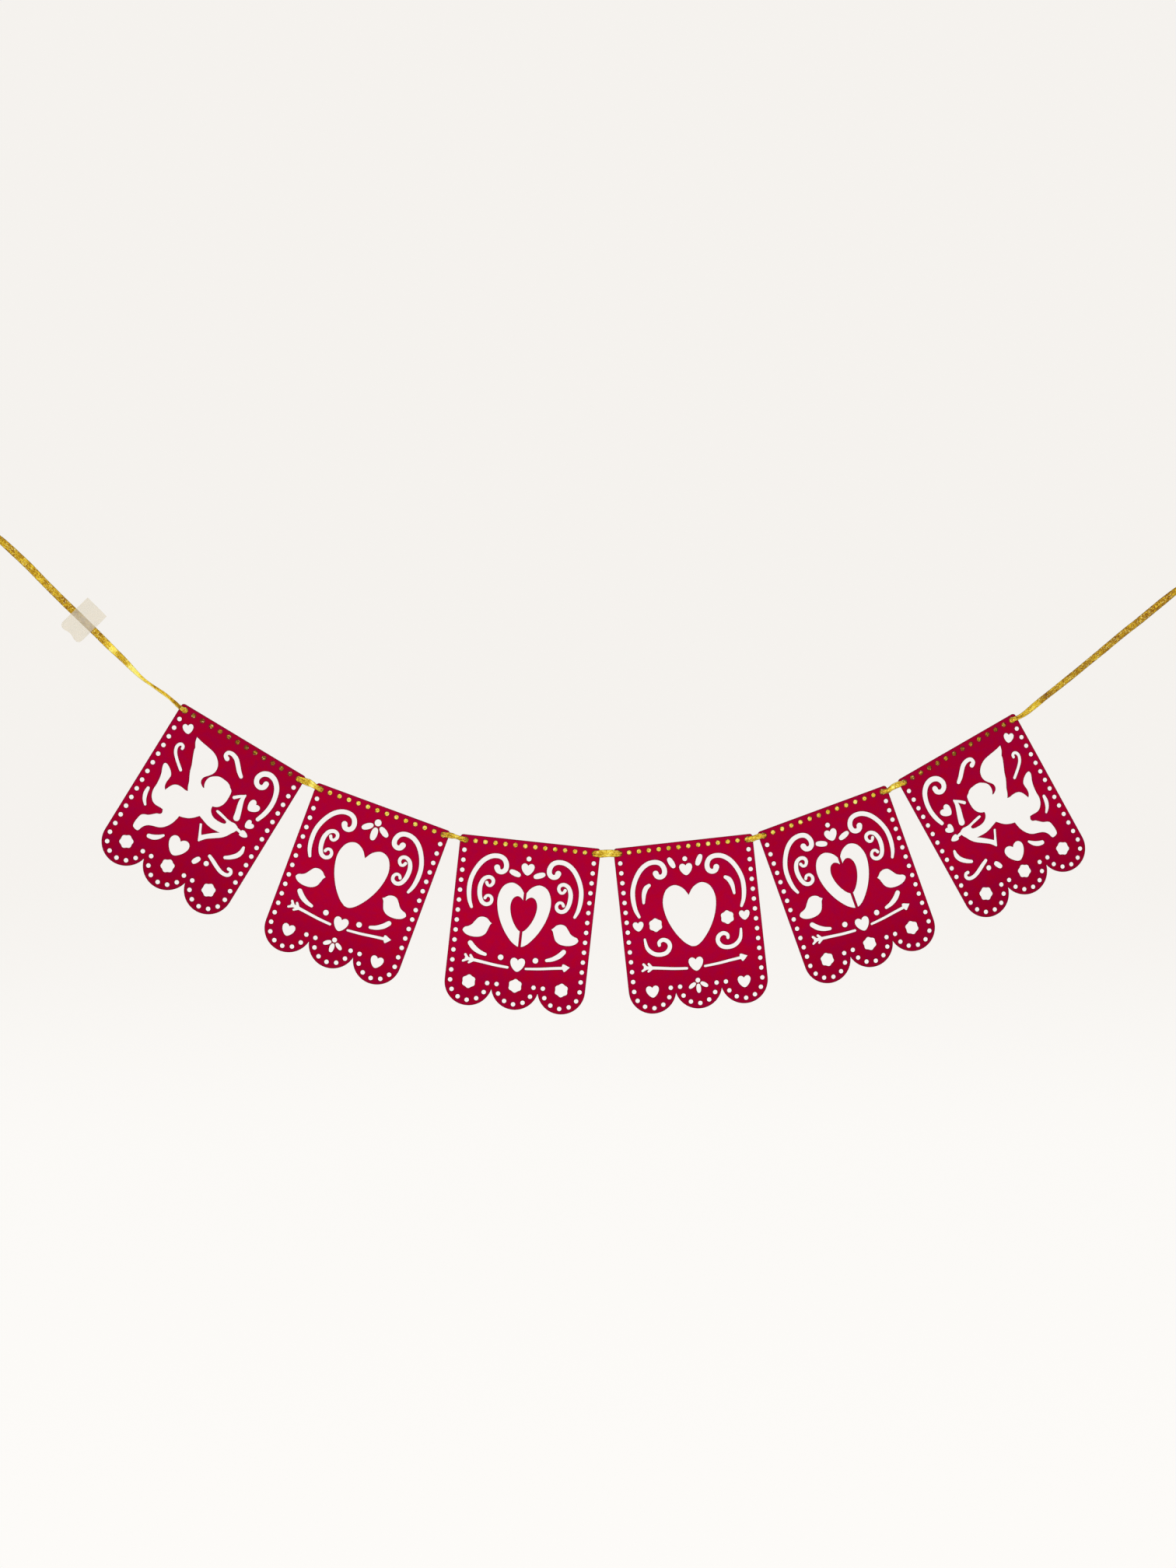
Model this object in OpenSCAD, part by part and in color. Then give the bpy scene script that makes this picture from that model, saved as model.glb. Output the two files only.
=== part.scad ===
// Cut-paper bunting: six scalloped card panels, cut like lace and threaded on a flat gold ribbon.
// It hangs in the XZ plane and is seen from -Y. The origin is the inside of the left hanging loop.

/* [Panels] */
// Width of one card panel
panel_w = 100; // [90:1:115]
// Height of one card panel, from its top edge to the scallop tips
panel_h = 120; // [112:1:135]
// Thickness of the card
card_t = 0.3; // [0.2:0.05:0.6]
// Radius of the two top corners
corner_r = 2.2; // [1:0.1:3.5]
// Number of scallops along the bottom edge
scallop_count = 3; // [2:1:4]
// Fullness of the scallops, where 1 only just touch
scallop_fullness = 1.02; // [1.01:0.01:1.08]

/* [Border] */
// Distance from the card's edge to the middle of the border holes
border_margin = 3.85; // [3.5:0.05:5]
// Diameter of the border holes
dot_d = 3.1; // [2:0.1:4]
// Distance between the border holes, rounded so that they come out even
dot_pitch = 7.1; // [6:0.1:9]
// Border holes round each scallop
scallop_dots = 7; // [5:1:9]
// Bare card between the border holes and the picture
field_gap = 2.6; // [1:0.1:5]

/* [Ornaments] */
// Half width of a six-lobed flower
flower_r = 4.9; // [3:0.1:6]
// Depth of the flower's lobes
flower_lobe = 0.32; // [0.1:0.02:0.6]
// Width of the heart in the middle of an arrow
arrow_heart_w = 10.4; // [7:0.1:12]
// Width of the large heart in the middle of a panel
large_heart_w = 38; // [28:0.5:40]
// Height of the large heart
large_heart_h = 45; // [36:0.5:48]
// Width of the cut round a heart that is left standing
heart_ring_w = 9.5; // [6:0.5:11]
// Width of the card bridges that hold the standing heart
bridge_w = 2; // [1.2:0.1:4]

/* [Ribbon] */
// Width of the ribbon where it lies flat
ribbon_w = 6; // [4:0.1:7]
// Thickness of the ribbon where it lies flat
ribbon_t = 0.3; // [0.15:0.05:0.5]
// Width of the ribbon where it is bunched through a corner hole
bunch_w = 3.4; // [2.4:0.1:4]
// Thickness of the bunched ribbon
bunch_t = 0.5; // [0.3:0.05:0.8]
// Room round the bunched ribbon in a corner hole
hole_clear = 0.4; // [0.3:0.05:0.8]
// Room between the ribbon and the card
ribbon_gap = 0.1; // [0.05:0.05:0.4]
// Width of the folded ribbon between two panels
span_w = 4.4; // [3.6:0.1:5.6]
// Width of the ribbon where a free stretch is twisted narrow
twist_w = 2.8; // [2:0.1:4]

/* [Hanging] */
// How far each panel leans, in degrees, the right side lower
tilts = [31.3, 20.3, 6.3, -6.2, -19.8, -29.3]; // [-32:0.1:32]
// How far each panel turns about its upright middle line, in degrees
turns = [1.5, -2, 1, -1.5, 2, 3]; // [-3:0.5:3]
// Length of ribbon from each panel's corner hole to the next panel's
spans = [16.7, 15.8, 17.4, 12, 16.2]; // [11:0.1:24]

/* [Tape] */
// Length of the tape strip across the ribbon
tape_l = 27.4; // [20:0.1:40]
// Width of the tape strip
tape_w = 18.6; // [12:0.1:25]
// Thickness of the tape
tape_t = 0.12; // [0.05:0.01:0.3]
// Radius of the corners at the worn end of the tape
tape_r = 3.2; // [1:0.1:5]
// Room between the tape and the ribbon under it
tape_gap = 0.05; // [0.02:0.01:0.2]

/* [Loops] */
// Length of a hanging loop, from its knot to its inside end
loop_l = 16.5; // [14:0.5:26]
// Width of a hanging loop between its sides
loop_w = 9; // [6:0.5:14]
// Radius of the knot
knot_r = 3.2; // [2.4:0.1:4]
// Length of the knot
knot_l = 5.5; // [4:0.1:8]

/* [Hidden] */
$fn = 40;
CURVE_STEPS = 4;
CAP_STEPS = 6;
PANELS = len(tilts);

// The card's outline
scallop_r = scallop_fullness * panel_w / (2 * scallop_count);
scallop_y = scallop_r - panel_h;
scallop_step = (panel_w - 2 * scallop_r) / (scallop_count - 1);
scallop_x = [for (i = [0:scallop_count - 1]) scallop_r - panel_w / 2 + i * scallop_step];

// The border holes: across the top, down the sides and round the scallops
hole_span = panel_w - 2 * border_margin;
row_steps = round(hole_span / dot_pitch);
row_pitch = hole_span / row_steps;
side_drop = -scallop_y - border_margin;
side_steps = round(side_drop / dot_pitch);
side_pitch = side_drop / side_steps;
ring_r = scallop_r - border_margin;
corner_hole_d = bunch_w + 2 * hole_clear;

// The picture fills the field inside the border and above the flowers in the scallops. It is drawn at the size
// of ART_W by ART_H, and what stands in a scallop is drawn for one of DRAWN_SCALLOP_R.
ART_W = 84;
ART_H = 89;
ART_MIDDLE = [0, -52.5];
DRAWN_SCALLOP_R = 17;
FLOWER_GAP = 1.1;
field_inset = border_margin + dot_d / 2 + field_gap;
field_w = panel_w - 2 * field_inset;
field_foot = -scallop_y - flower_r - FLOWER_GAP;
field_h = field_foot - field_inset;
art_fit = min(field_w / ART_W, field_h / ART_H);
art_y = -(field_inset + field_foot) / 2;
scallop_fit = scallop_r / DRAWN_SCALLOP_R;

// Places on the ribbon near a corner hole, as distances from the hole and from the card's mid-plane
EDGE_ROOM = 0.15;
cross_run = sqrt(pow(corner_hole_d / 2, 2) - pow(bunch_w / 2, 2)) - EDGE_ROOM;
cross_rise = card_t / 2 + bunch_t / 2 + ribbon_gap;
back_rise = card_t / 2 + ribbon_t / 2 + ribbon_gap;
gather_run = 3.5;
spread_run = 8;
front_lift = 0.25;

// Direction of a free ribbon where it reaches its knot, in degrees above level
LEFT_END_ANGLE = 136.5;
RIGHT_END_ANGLE = 37.5;

// The left knot, so that the inside of its loop lies at the origin
loop_reach = knot_l + loop_l - ribbon_t / 2;
left_knot = -loop_reach * [cos(LEFT_END_ANGLE), 0, sin(LEFT_END_ANGLE)];

// Where the ribbon passes through the first panel's outer hole, measured from the left knot
FIRST_HOLE = [134, 0, -125];

// The free ribbon on the left, from the left knot to the first panel
LEFT_ROUTE = [
    [0, 0, 0], [4, 0.1, -3.8], [10, 0.6, -9.4], [17, 1.2, -16], [25.9, 1.9, -24.6], [35.3, 2.4, -34.1],
    [43.8, 2.7, -42.7], [52.3, 2.85, -51.5], [63.3, 2.85, -62.4], [72.9, 2.85, -71.7], [83.1, 2.4, -81.8],
    [91.5, 1.7, -89.8], [98.6, 1, -97], [105.7, 0.3, -103.4], [114, -0.3, -109.4], [122.2, -0.6, -115.4]
];
LEFT_WIDE_STEPS = 10;
LEFT_TWIST_STEPS = 3;

// The free ribbon on the right, measured from the last panel's outer hole
RIGHT_ROUTE = [
    [8.6, 1.6, 5], [15, 1.3, 10], [21.9, 1, 15.6], [29.8, 0.7, 21.8], [38.6, 0.5, 28.8], [47.5, 0.3, 35.8],
    [56.2, 0.2, 42.9], [65, 0.1, 50.1], [73.8, 0.1, 57.4], [82.7, 0, 64.6], [91.8, 0, 71.5], [100.8, 0, 78.6],
    [109.8, 0, 85.7], [117.8, 0, 91.9], [124.8, 0, 97.3], [130.8, 0, 101.9]
];
RIGHT_TWIST_STEPS = 3;

// The tape crosses the left free ribbon at this point of its route, on the wall behind it
TAPE_STEP = 8;
TAPE_ANGLE = 45;

// Curves: a smooth line through points chosen by hand, and outlines made from such lines

function mix(a, b, t) = a + (b - a) * t;

function curve_point(p, i, t) =
    let (a = p[max(i - 1, 0)], b = p[i], c = p[i + 1], d = p[min(i + 2, len(p) - 1)])
    b + (c - a) * t / 2 + (2 * a - 5 * b + 4 * c - d) * t * t / 2 + (3 * b - a - 3 * c + d) * t * t * t / 2;

function curve(p, steps = CURVE_STEPS) =
    [for (i = [0:len(p) - 2], k = [0:steps - 1]) curve_point(p, i, k / steps), p[len(p) - 1]];

// A closed outline from runs of points: it is smooth along each run, with a corner where two runs meet
function outline_points(runs) =
    [for (i = [0:len(runs) - 1])
        let (line = curve(concat(runs[i], [runs[(i + 1) % len(runs)][0]])))
        for (k = [0:len(line) - 2]) line[k]];

// The left half of a shape, from its last point up to the one after its first
function mirrored(p) = [for (i = [len(p) - 1:-1:1]) [-p[i].x, p[i].y]];

module outline(runs) polygon(outline_points(runs));

// A shape with a corner at the top and bottom, drawn by its right half and mirrored
module mirrored_outline(half) outline([mirrored(half), half]);

function flat(v) = [v.x, v.y];

function heading(p, i) =
    let (a = flat(p[max(i - 1, 0)]), b = flat(p[min(i + 1, len(p) - 1)]))
    (b - a) / norm(b - a);

function cap(p, heading_x, heading_y) =
    [for (k = [1:CAP_STEPS - 1])
        let (a = 90 - 180 * k / CAP_STEPS, r = p[2] / 2)
        flat(p) + r * cos(a) * [heading_x, heading_y] + r * sin(a) * [-heading_y, heading_x]];

// A cut of changing width with round ends, through points given as [x, y, width]
module stroke(points) {
    line = curve(points);
    last = len(line) - 1;
    function side(i, s) =
        let (h = heading(line, i))
        flat(line[i]) + s * line[i][2] / 2 * [-h.y, h.x];
    end_way = heading(line, last);
    start_way = -heading(line, 0);
    polygon(concat(
        [for (i = [0:last]) side(i, 1)],
        cap(line[last], end_way.x, end_way.y),
        [for (i = [last:-1:0]) side(i, -1)],
        cap(line[0], start_way.x, start_way.y)
    ));
}

module both_sides() {
    children();
    mirror([1, 0]) children();
}

// Ornaments that the panels share

// A heart with its tip at the origin
module heart(w, h) {
    mirrored_outline([
        [0, 0.82 * h], [0.1 * w, 0.94 * h], [0.26 * w, h], [0.42 * w, 0.93 * h], [0.5 * w, 0.74 * h],
        [0.46 * w, 0.5 * h], [0.34 * w, 0.27 * h], [0.18 * w, 0.09 * h], [0.05 * w, 0.01 * h]
    ]);
}

// A pointed leaf or petal along +X, centred on the origin
module leaf(l, w, fullness = 0.8) {
    n = 10;
    function half(s) = [for (i = [1:n - 1]) [-l / 2 * cos(180 * i / n) , s * w / 2 * pow(sin(180 * i / n), fullness)]];
    polygon(concat([[-l / 2, 0]], half(1), [[l / 2, 0]], [for (i = [n - 2:-1:0]) half(-1)[i]]));
}

// A flower of six shallow lobes, one of them straight up
module flower(r) {
    polygon([for (a = [0:10:350]) (r - flower_lobe * (1 - cos(6 * (a - 30)))) * [cos(a), sin(a)]]);
}

// A dot with three petals hanging from it
module petal_flower(s) {
    scale(s) {
        circle(d = 4.8);
        translate([0, -8.3]) rotate(90) leaf(9.4, 4.8);
        both_sides() translate([6.1, -4.8]) rotate(-34) leaf(8.6, 4.3);
    }
}

// The large scroll of the right-hand side
module scroll() {
    stroke([
        [21.8, -20.9, 4.2], [20.7, -23.1, 3.7], [18.1, -23.7, 3.4], [15.8, -21.9, 3.5], [15.4, -18.3, 3.5],
        [17.4, -14.5, 3.4], [21.4, -12.8, 3.3], [26.8, -13.5, 3.3], [32.2, -17.2, 3.3], [36.6, -23.6, 3.2],
        [39.3, -31, 3.2], [39.8, -38.5, 3.2], [38.8, -45.5, 2.8], [36.8, -50.4, 2]
    ]);
}

// The stroke that curls up at both ends, on the right-hand side
module double_spiral() {
    stroke([
        [28, -32.2, 2.3], [26.9, -34, 2], [24.9, -34.1, 2.1], [23.4, -31.8, 2.4], [24.1, -29.2, 2.5],
        [27, -28.2, 2.6], [30.3, -30, 2.8], [32.1, -34.2, 3.1], [32.3, -38.6, 3.2], [31.5, -43, 3],
        [29.6, -46.4, 2.9], [26.6, -47.6, 2.7], [23.8, -46.3, 2.5], [23.1, -43.6, 2.3], [24.6, -41.4, 2.1],
        [26.9, -41.5, 2], [28, -43.2, 2.2]
    ]);
}

// The bird of the right-hand side, looking at the middle
module bird() {
    outline([
        [[21.3, -60.6], [22.8, -59.5], [24.6, -57.6], [27.6, -56.6], [30.8, -57.3], [33.2, -60], [35.2, -62.7],
            [37.6, -64.2], [39.9, -65], [41.2, -67.1], [39.2, -69.5], [35.8, -70.9], [31.6, -71.2],
            [27.8, -70.4], [24.9, -68.2], [23.4, -64.8], [22.6, -62.4]]
    ]);
}

// The curved leaf below the bird
module lower_leaf() {
    stroke([[20.3, -82.9, 2.2], [24.5, -81.6, 3], [28.7, -79, 3.6], [31.7, -75.8, 3.4]]);
}

// The arrow that runs through the middle heart, its point to the right
module arrow() {
    stroke([[6.2, -90.3, 1.6], [16, -89.4, 1.8], [25, -88.1, 1.9], [33, -87.1, 2]]);
    outline([
        [[31.8, -84.6], [33, -84.5], [35.4, -85.5]], [[37.2, -86.2], [36, -87.6], [34, -89.6]], [[33.2, -89.6], [31.6, -87]]
    ]);
    stroke([[-6.9, -90.5, 1.8], [-16, -89.7, 1.9], [-25, -88.4, 2], [-31.5, -87.5, 2.2], [-36.4, -87, 2.4]]);
    for (barb = [[[-35.6, -86.8], [-37.4, -84.3]], [[-32, -87], [-33.7, -84.5]]]) {
        stroke([[barb[0].x, barb[0].y, 1.9], [barb[1].x, barb[1].y, 1.7]]);
    }
    for (barb = [[[-35.8, -87.4], [-38.6, -88.9]], [[-31.8, -87.9], [-34.4, -89.7]]]) {
        stroke([[barb[0].x, barb[0].y, 1.9], [barb[1].x, barb[1].y, 1.5]]);
    }
    translate([0, -93]) heart(arrow_heart_w, 0.94 * arrow_heart_w);
}

// A heart between two leaves under a dot, at the top of a panel
module crest(leaf_place, leaf_angle) {
    translate([0, -12.6]) circle(d = 3.4);
    translate([0, -24.4]) heart(9.2, 8.4);
    both_sides() translate(leaf_place) rotate(leaf_angle) leaf(8.6, 4, 0.7);
}

// What the panels with birds have in common
module bird_picture() {
    both_sides() {
        scroll();
        double_spiral();
        bird();
        translate([12.4, -83.9]) circle(d = 3.9);
    }
    lower_leaf();
    translate([-3.2, 0]) mirror([1, 0]) lower_leaf();
    arrow();
}

// A heart cut out whole, in the middle of a panel
module whole_heart() {
    translate([0, ART_MIDDLE.y - 0.5 - large_heart_h / 2]) heart(large_heart_w, large_heart_h);
}

// A cut shaped like a heart round a heart that is left standing on two bridges
module bridged_heart() {
    inner = [large_heart_w - 2 * heart_ring_w, large_heart_h - 2.1 * heart_ring_w];
    translate([0, ART_MIDDLE.y - 0.5]) difference() {
        translate([0, -large_heart_h / 2]) heart(large_heart_w, large_heart_h);
        translate([0, -inner.y / 2 + 0.02 * large_heart_h]) heart(inner.x, inner.y);
        square([bridge_w, 2 * large_heart_h], center = true);
    }
}

// The winged child with a bow, who flies to the right
module cherub() {
    // Wing, with three feather tips along its lower edge and a tongue of card between it and the head
    outline([
        [[-29.3, -15.4], [-24.5, -16.6], [-19, -17.5], [-14, -18.6], [-9.9, -20.9], [-7, -24.3],
            [-5.9, -28], [-6.4, -31.2], [-8.2, -34], [-10.4, -36.5], [-11.2, -39], [-10.4, -41.4]],
        [[-8.2, -43.2], [-6.8, -43.5]],
        [[-2, -43.4]],
        [[-2, -54]],
        [[-14.4, -52.3], [-16.6, -48.5], [-18, -44.6]],
        [[-18.7, -43.2], [-20.9, -38.6], [-22.2, -34.4]],
        [[-22.8, -32.8], [-24.6, -28.6], [-26.2, -24.4]],
        [[-26.5, -22.4], [-28.5, -18.8]]
    ]);
    // Head with short curls, and the chin over the arm
    outline([
        [[-5, -47], [-6.6, -43.5], [-7.8, -41.1], [-8.2, -38.3], [-7.6, -35.7], [-6.3, -33.9],
            [-4.3, -32.4],
            [-2.2, -31.3], [0.6, -31], [3.2, -31.3]],
        [[5, -31.5], [7.2, -32.5]],
        [[8.6, -33.9], [10.4, -35.2], [11.1, -37.4], [11.3, -41], [11.1, -44.4], [10.2, -47.2],
            [8.7, -49.4],
            [6.9, -50.7]],
        [[5, -51.3], [-1, -53]]
    ]);
    // Body, legs, arms and the bow's lower limb with its string
    outline([
        // The back, up to the calf of the raised leg
        [[-5, -49], [-15.8, -51.2], [-19.4, -50.9], [-22.8, -50.9], [-25.4, -52], [-27.2, -54.2]],
        // The raised leg, round its foot to the back of the knee
        [[-29, -58.4], [-30.5, -56.2], [-31, -53], [-30.7, -50], [-30.8, -47.6], [-32.4, -45.2],
            [-34.6, -43.4],
            [-37, -42.2], [-38.7, -42.3], [-39.2, -43.9], [-38.6, -46.2], [-37.3, -49.4], [-36.4, -53.4],
            [-36, -58], [-36.1, -62], [-35.3, -65.4], [-33.7, -68.1], [-31.4, -70], [-28.6, -70.7],
            [-25.6, -70.6]],
        // The hanging leg, down its back, round the foot and up its front
        [[-23.4, -70.8], [-22.5, -73], [-23.3, -74.6], [-25.4, -75.5], [-27.4, -77.3], [-29.8, -79.3],
            [-32.6, -80.5], [-34.2, -82], [-34.9, -84.6], [-35.3, -88], [-35, -90.8]],
        [[-34.2, -91.8], [-32.4, -92.4], [-30.7, -92.4]],
        [[-29.9, -91.4], [-29.2, -89.2], [-28, -87.1], [-26, -85.4], [-23, -84.2], [-19.6, -83.2],
            [-16.9, -81.6],
            [-14.6, -79], [-12.8, -75.8], [-11.7, -72.2]],
        // Belly, and the underside of the arm that holds the bow
        [[-11.2, -69.1], [-8.4, -68.4], [-5, -67], [-2.2, -64.9], [-0.4, -63]],
        [[0.8, -61.7], [4, -62.8], [8, -64.2], [12, -64.9], [16, -64.8]],
        // The bow's lower limb and the string that is tied to its tip
        [[18.8, -64.6], [16, -66.4], [12.4, -69.3]],
        [[8.7, -72.5], [7.3, -70.2], [5.6, -66.6]],
        [[5, -65.6], [4, -65.8]],
        [[3.7, -66.3], [6, -71.2], [7.9, -75.4]],
        [[8.6, -77.1], [9.4, -77.3]],
        [[10, -76.5], [12.8, -73.2], [17.2, -70], [21.3, -67], [24, -64], [25.6, -61.2], [26.9, -59.2]],
        // The fist, the hand on the string and the top of the bow arm, up to the chin
        [[28, -57.1]],
        [[28.2, -55.7], [26.4, -54.4], [24.4, -53.7], [22, -53.9], [19, -53.7], [14, -52.4],
            [10.4, -51.7],
            [9, -52], [8.9, -53], [10.4, -53.6], [14, -54.4], [17, -55]],
        [[18.6, -55.6], [18.9, -56.8], [17.6, -57.8], [14.6, -58.2], [11, -58], [8.2, -57],
            [6, -55], [5, -52.9]],
        [[4.9, -51.3]]
    ]);
    // The arrow's shaft and its head, shaped like a heart
    stroke([[26, -55.9, 2.2], [31.5, -57, 1.8]]);
    translate([36.5, -57.4]) rotate(84) heart(4.6, 5.8);
    // The bow's upper limb and the piece of string at its tip
    stroke([[23.3, -49.7, 4.5], [22.4, -46, 4.1], [20.6, -40, 3.6], [20, -36.2, 2.7],
    [20.5, -33.2, 1.4]]);
    stroke([[20, -33.7, 1.4], [17.3, -35.8, 2], [14.5, -38.3, 2.3]]);
}

// The cherub panel's picture, with the cherub flying to the right
module cherub_picture() {
    cherub();
    stroke([
        [28.6, -18.8, 3.9], [28.2, -21.5, 3.7], [25.5, -23, 3.4], [22.4, -21.4, 3.5], [21.3, -17.8, 3.6],
        [23.2, -13.8, 3.7], [27.6, -12, 3.8], [32.6, -13.5, 3.6], [36.7, -18, 3.5], [38.9, -24.4, 3.3],
        [39.4, -31, 3.3], [38.4, -37.4, 3.2], [36.4, -43, 2.8]
    ]);
    // Curled strokes in front of and behind the wing, and low on the right
    stroke([
        [-3.7, -17.6, 3.3], [-5.7, -16.2, 2.8], [-5.2, -13.6, 2.8], [-2.2, -12.9, 3], [1.8, -14.4, 3.2],
        [5.1, -17.7, 3.2], [8.1, -21, 3.1], [11, -23.4, 2.6]
    ]);
    stroke([
        [-33.8, -27.6, 2], [-34.1, -26, 2.1], [-35.7, -25.2, 2.1], [-37.3, -26.4, 2.2], [-37.7, -29, 2.2],
        [-36.3, -32.4, 2.2], [-33.4, -35.6, 2.1], [-30.2, -38.4, 2.1], [-27, -41, 2]
    ]);
    stroke([
        [21.3, -82.2, 2.3], [25, -83.9, 2.7], [29.2, -86, 2.8], [33.2, -87.6, 2.7], [36.8, -87.9, 2.6],
        [39.2, -86.9, 2.5], [39.9, -85, 2.4], [38.9, -83.3, 2.3], [37.2, -83.2, 2.4]
    ]);
    // Leaves round the figure
    stroke([[-39.6, -63.3, 2.2], [-39.3, -67.2, 2.9], [-37.8, -71.2, 2.5], [-35.4, -74.2, 1.6]]);
    stroke([[-13.4, -86.2, 1.6], [-15.8, -88.9, 3], [-18.9, -90.9, 3.5], [-21.9, -91.7, 3]]);
    stroke([[38.3, -65, 1.8], [38.6, -68.6, 3.1], [37.2, -72.2, 3.3], [34, -75.5, 2.9],
    [30.9, -77.6, 2.3]]);
    translate([14.8, -89.5]) rotate(62) leaf(6.6, 3.7, 0.6);
    translate([22, -87.9]) circle(d = 3.6);
    // Hearts
    translate([-35.7, -16.8]) rotate(31) heart(7.4, 6.9);
    translate([27.2, -40.8]) rotate(-27) heart(8.8, 8);
    translate([31.7, -52.2]) rotate(-30) heart(6.4, 6);
    translate([-1.1, -94.7]) heart(14.7, 13.2);
}

// One card and its border

module card() {
    difference() {
        union() {
            translate([corner_r - panel_w / 2, scallop_y]) square([panel_w - 2 * corner_r, -scallop_y]);
            translate([-panel_w / 2, scallop_y]) square([panel_w, -scallop_y - corner_r]);
            for (s = [-1, 1]) translate([s * (panel_w / 2 - corner_r), -corner_r]) circle(corner_r);
            for (x = scallop_x) translate([x, scallop_y]) circle(scallop_r);
        }
        border_holes();
        children();
    }
}

module border_holes() {
    for (i = [1:row_steps - 1]) {
        translate([i * row_pitch - hole_span / 2, -border_margin]) circle(d = dot_d);
    }
    both_sides() {
        translate([hole_span / 2, -border_margin]) circle(d = corner_hole_d);
        for (i = [1:side_steps - 1]) {
            translate([hole_span / 2, -border_margin - i * side_pitch]) circle(d = dot_d);
        }
    }
    for (x = scallop_x, i = [0:scallop_dots - 1]) {
        a = -180 * i / (scallop_dots - 1);
        translate([x + ring_r * cos(a), scallop_y + ring_r * sin(a)]) circle(d = dot_d);
    }
}

module art() {
    translate([0, art_y]) scale(art_fit) translate(-ART_MIDDLE) children();
}

module in_scallop(i) {
    translate([scallop_x[i], scallop_y]) scale(scallop_fit) children();
}

module scallop_flowers() {
    for (i = [0:scallop_count - 1]) in_scallop(i) flower(flower_r);
}

// Hearts in the outer scallops and petals in those between
module scallop_hearts_and_petals() {
    for (i = [0:scallop_count - 1]) {
        if (i == 0 || i == scallop_count - 1) in_scallop(i) translate([0, -5.6]) heart(9.2, 8.4);
        else in_scallop(i) translate([0, 3.2]) petal_flower(0.7);
    }
}

// The hanging arc: each panel's two corner holes, from the left

function step_right(i) = hole_span * cos(turns[i]) * [cos(tilts[i]), 0, -sin(tilts[i])];

function span_right(i) =
    let (a = (tilts[i] + tilts[i + 1]) / 2)
    spans[i] * [cos(a), 0, -sin(a)];

function left_hole(i) = i == 0 ? left_knot + FIRST_HOLE : left_hole(i - 1) + step_right(i - 1) + span_right(i - 1);

function panel_middle(i) = left_hole(i) + step_right(i) / 2;

last_hole = left_hole(PANELS - 1) + step_right(PANELS - 1);

// A panel's own axes in space: along its row of holes, out of its back, and up
function along(i) = [cos(turns[i]) * cos(tilts[i]), sin(turns[i]), -cos(turns[i]) * sin(tilts[i])];

function backward(i) = [-sin(turns[i]) * cos(tilts[i]), cos(turns[i]), sin(turns[i]) * sin(tilts[i])];

function upward(i) = [sin(tilts[i]), 0, cos(tilts[i])];

function on_panel(i, u, back) = panel_middle(i) + u * along(i) + back * backward(i);

module hang(i) {
    translate(panel_middle(i)) rotate([0, tilts[i], 0]) rotate([0, 0, turns[i]])
        translate([0, card_t / 2, border_margin]) rotate([90, 0, 0]) linear_extrude(card_t) children();
}

module panel_colour() color([0.63, 0.0, 0.16]) children();

module panel_1_cherub() {
    panel_colour() hang(0) card() {
        art() cherub_picture();
        scallop_flowers();
    }
}

module panel_2_heart() {
    panel_colour() hang(1) card() {
        art() {
            bird_picture();
            whole_heart();
            translate([0, -12]) petal_flower(1);
        }
        scallop_hearts_and_petals();
    }
}

module panel_3_bridged_heart() {
    panel_colour() hang(2) card() {
        art() {
            bird_picture();
            bridged_heart();
            crest([8.7, -23.7], 20);
        }
        scallop_flowers();
    }
}

module panel_4_heart() {
    panel_colour() hang(3) card() {
        art() {
            both_sides() {
                scroll();
                stroke([[27.4, -28.8, 2.4], [30, -30.8, 3.4], [31.8, -35, 3], [32.6, -40.8, 1.8]]);
                translate([38.2, -60.6]) heart(7.6, 6.8);
                translate([25.8, -57.4]) flower(flower_r);
                stroke([
                    [24.7, -72, 2.2], [24.5, -69.8, 2.6], [21.6, -68.4, 2.8], [18.2, -70.2, 3], [17.3, -73.8, 3],
                    [19.6, -77.4, 3], [24, -78.7, 2.9], [29.2, -77.6, 2.9], [33.4, -73.4, 2.6], [34.6, -66.8, 1.6]
                ]);
            }
            arrow();
            whole_heart();
            crest([9.9, -14.5], 64);
        }
        scallop_hearts_and_petals();
    }
}

module panel_5_bridged_heart() {
    panel_colour() hang(4) card() {
        art() {
            bird_picture();
            bridged_heart();
            crest([8.7, -23.7], 20);
        }
        scallop_flowers();
    }
}

module panel_6_cherub() {
    panel_colour() hang(5) card() {
        art() mirror([1, 0]) cherub_picture();
        scallop_flowers();
    }
}

// The ribbon: a flat band swept through rings, each given as [centre, direction of its width, width, thickness]

function unit(v) = v / norm(v);

function ring_points(rings, i) =
    let (
        way = unit(rings[min(i + 1, len(rings) - 1)][0] - rings[max(i - 1, 0)][0]),
        across = unit(rings[i][1] - way * (rings[i][1] * way)),
        out = cross(way, across),
        w = rings[i][2] / 2,
        t = rings[i][3] / 2
    )
    [for (s = [[1, 0.4], [0.86, 1], [-0.86, 1], [-1, 0.4], [-1, -0.4], [-0.86, -1], [0.86, -1], [1, -0.4]])
        rings[i][0] + s[0] * w * across + s[1] * t * out];

module band(rings) {
    n = 8;
    last = len(rings) - 1;
    points = [for (i = [0:last]) each ring_points(rings, i)];
    sides = [for (i = [0:last - 1], k = [0:n - 1])
        let (a = i * n + k, b = i * n + (k + 1) % n)
        each [[a, a + n, b], [b, a + n, b + n]]];
    start_cap = [for (k = [1:n - 2]) [0, k, k + 1]];
    end_cap = [for (k = [1:n - 2]) [last * n, last * n + k + 1, last * n + k]];
    polyhedron(points, concat(start_cap, sides, end_cap));
}

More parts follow.
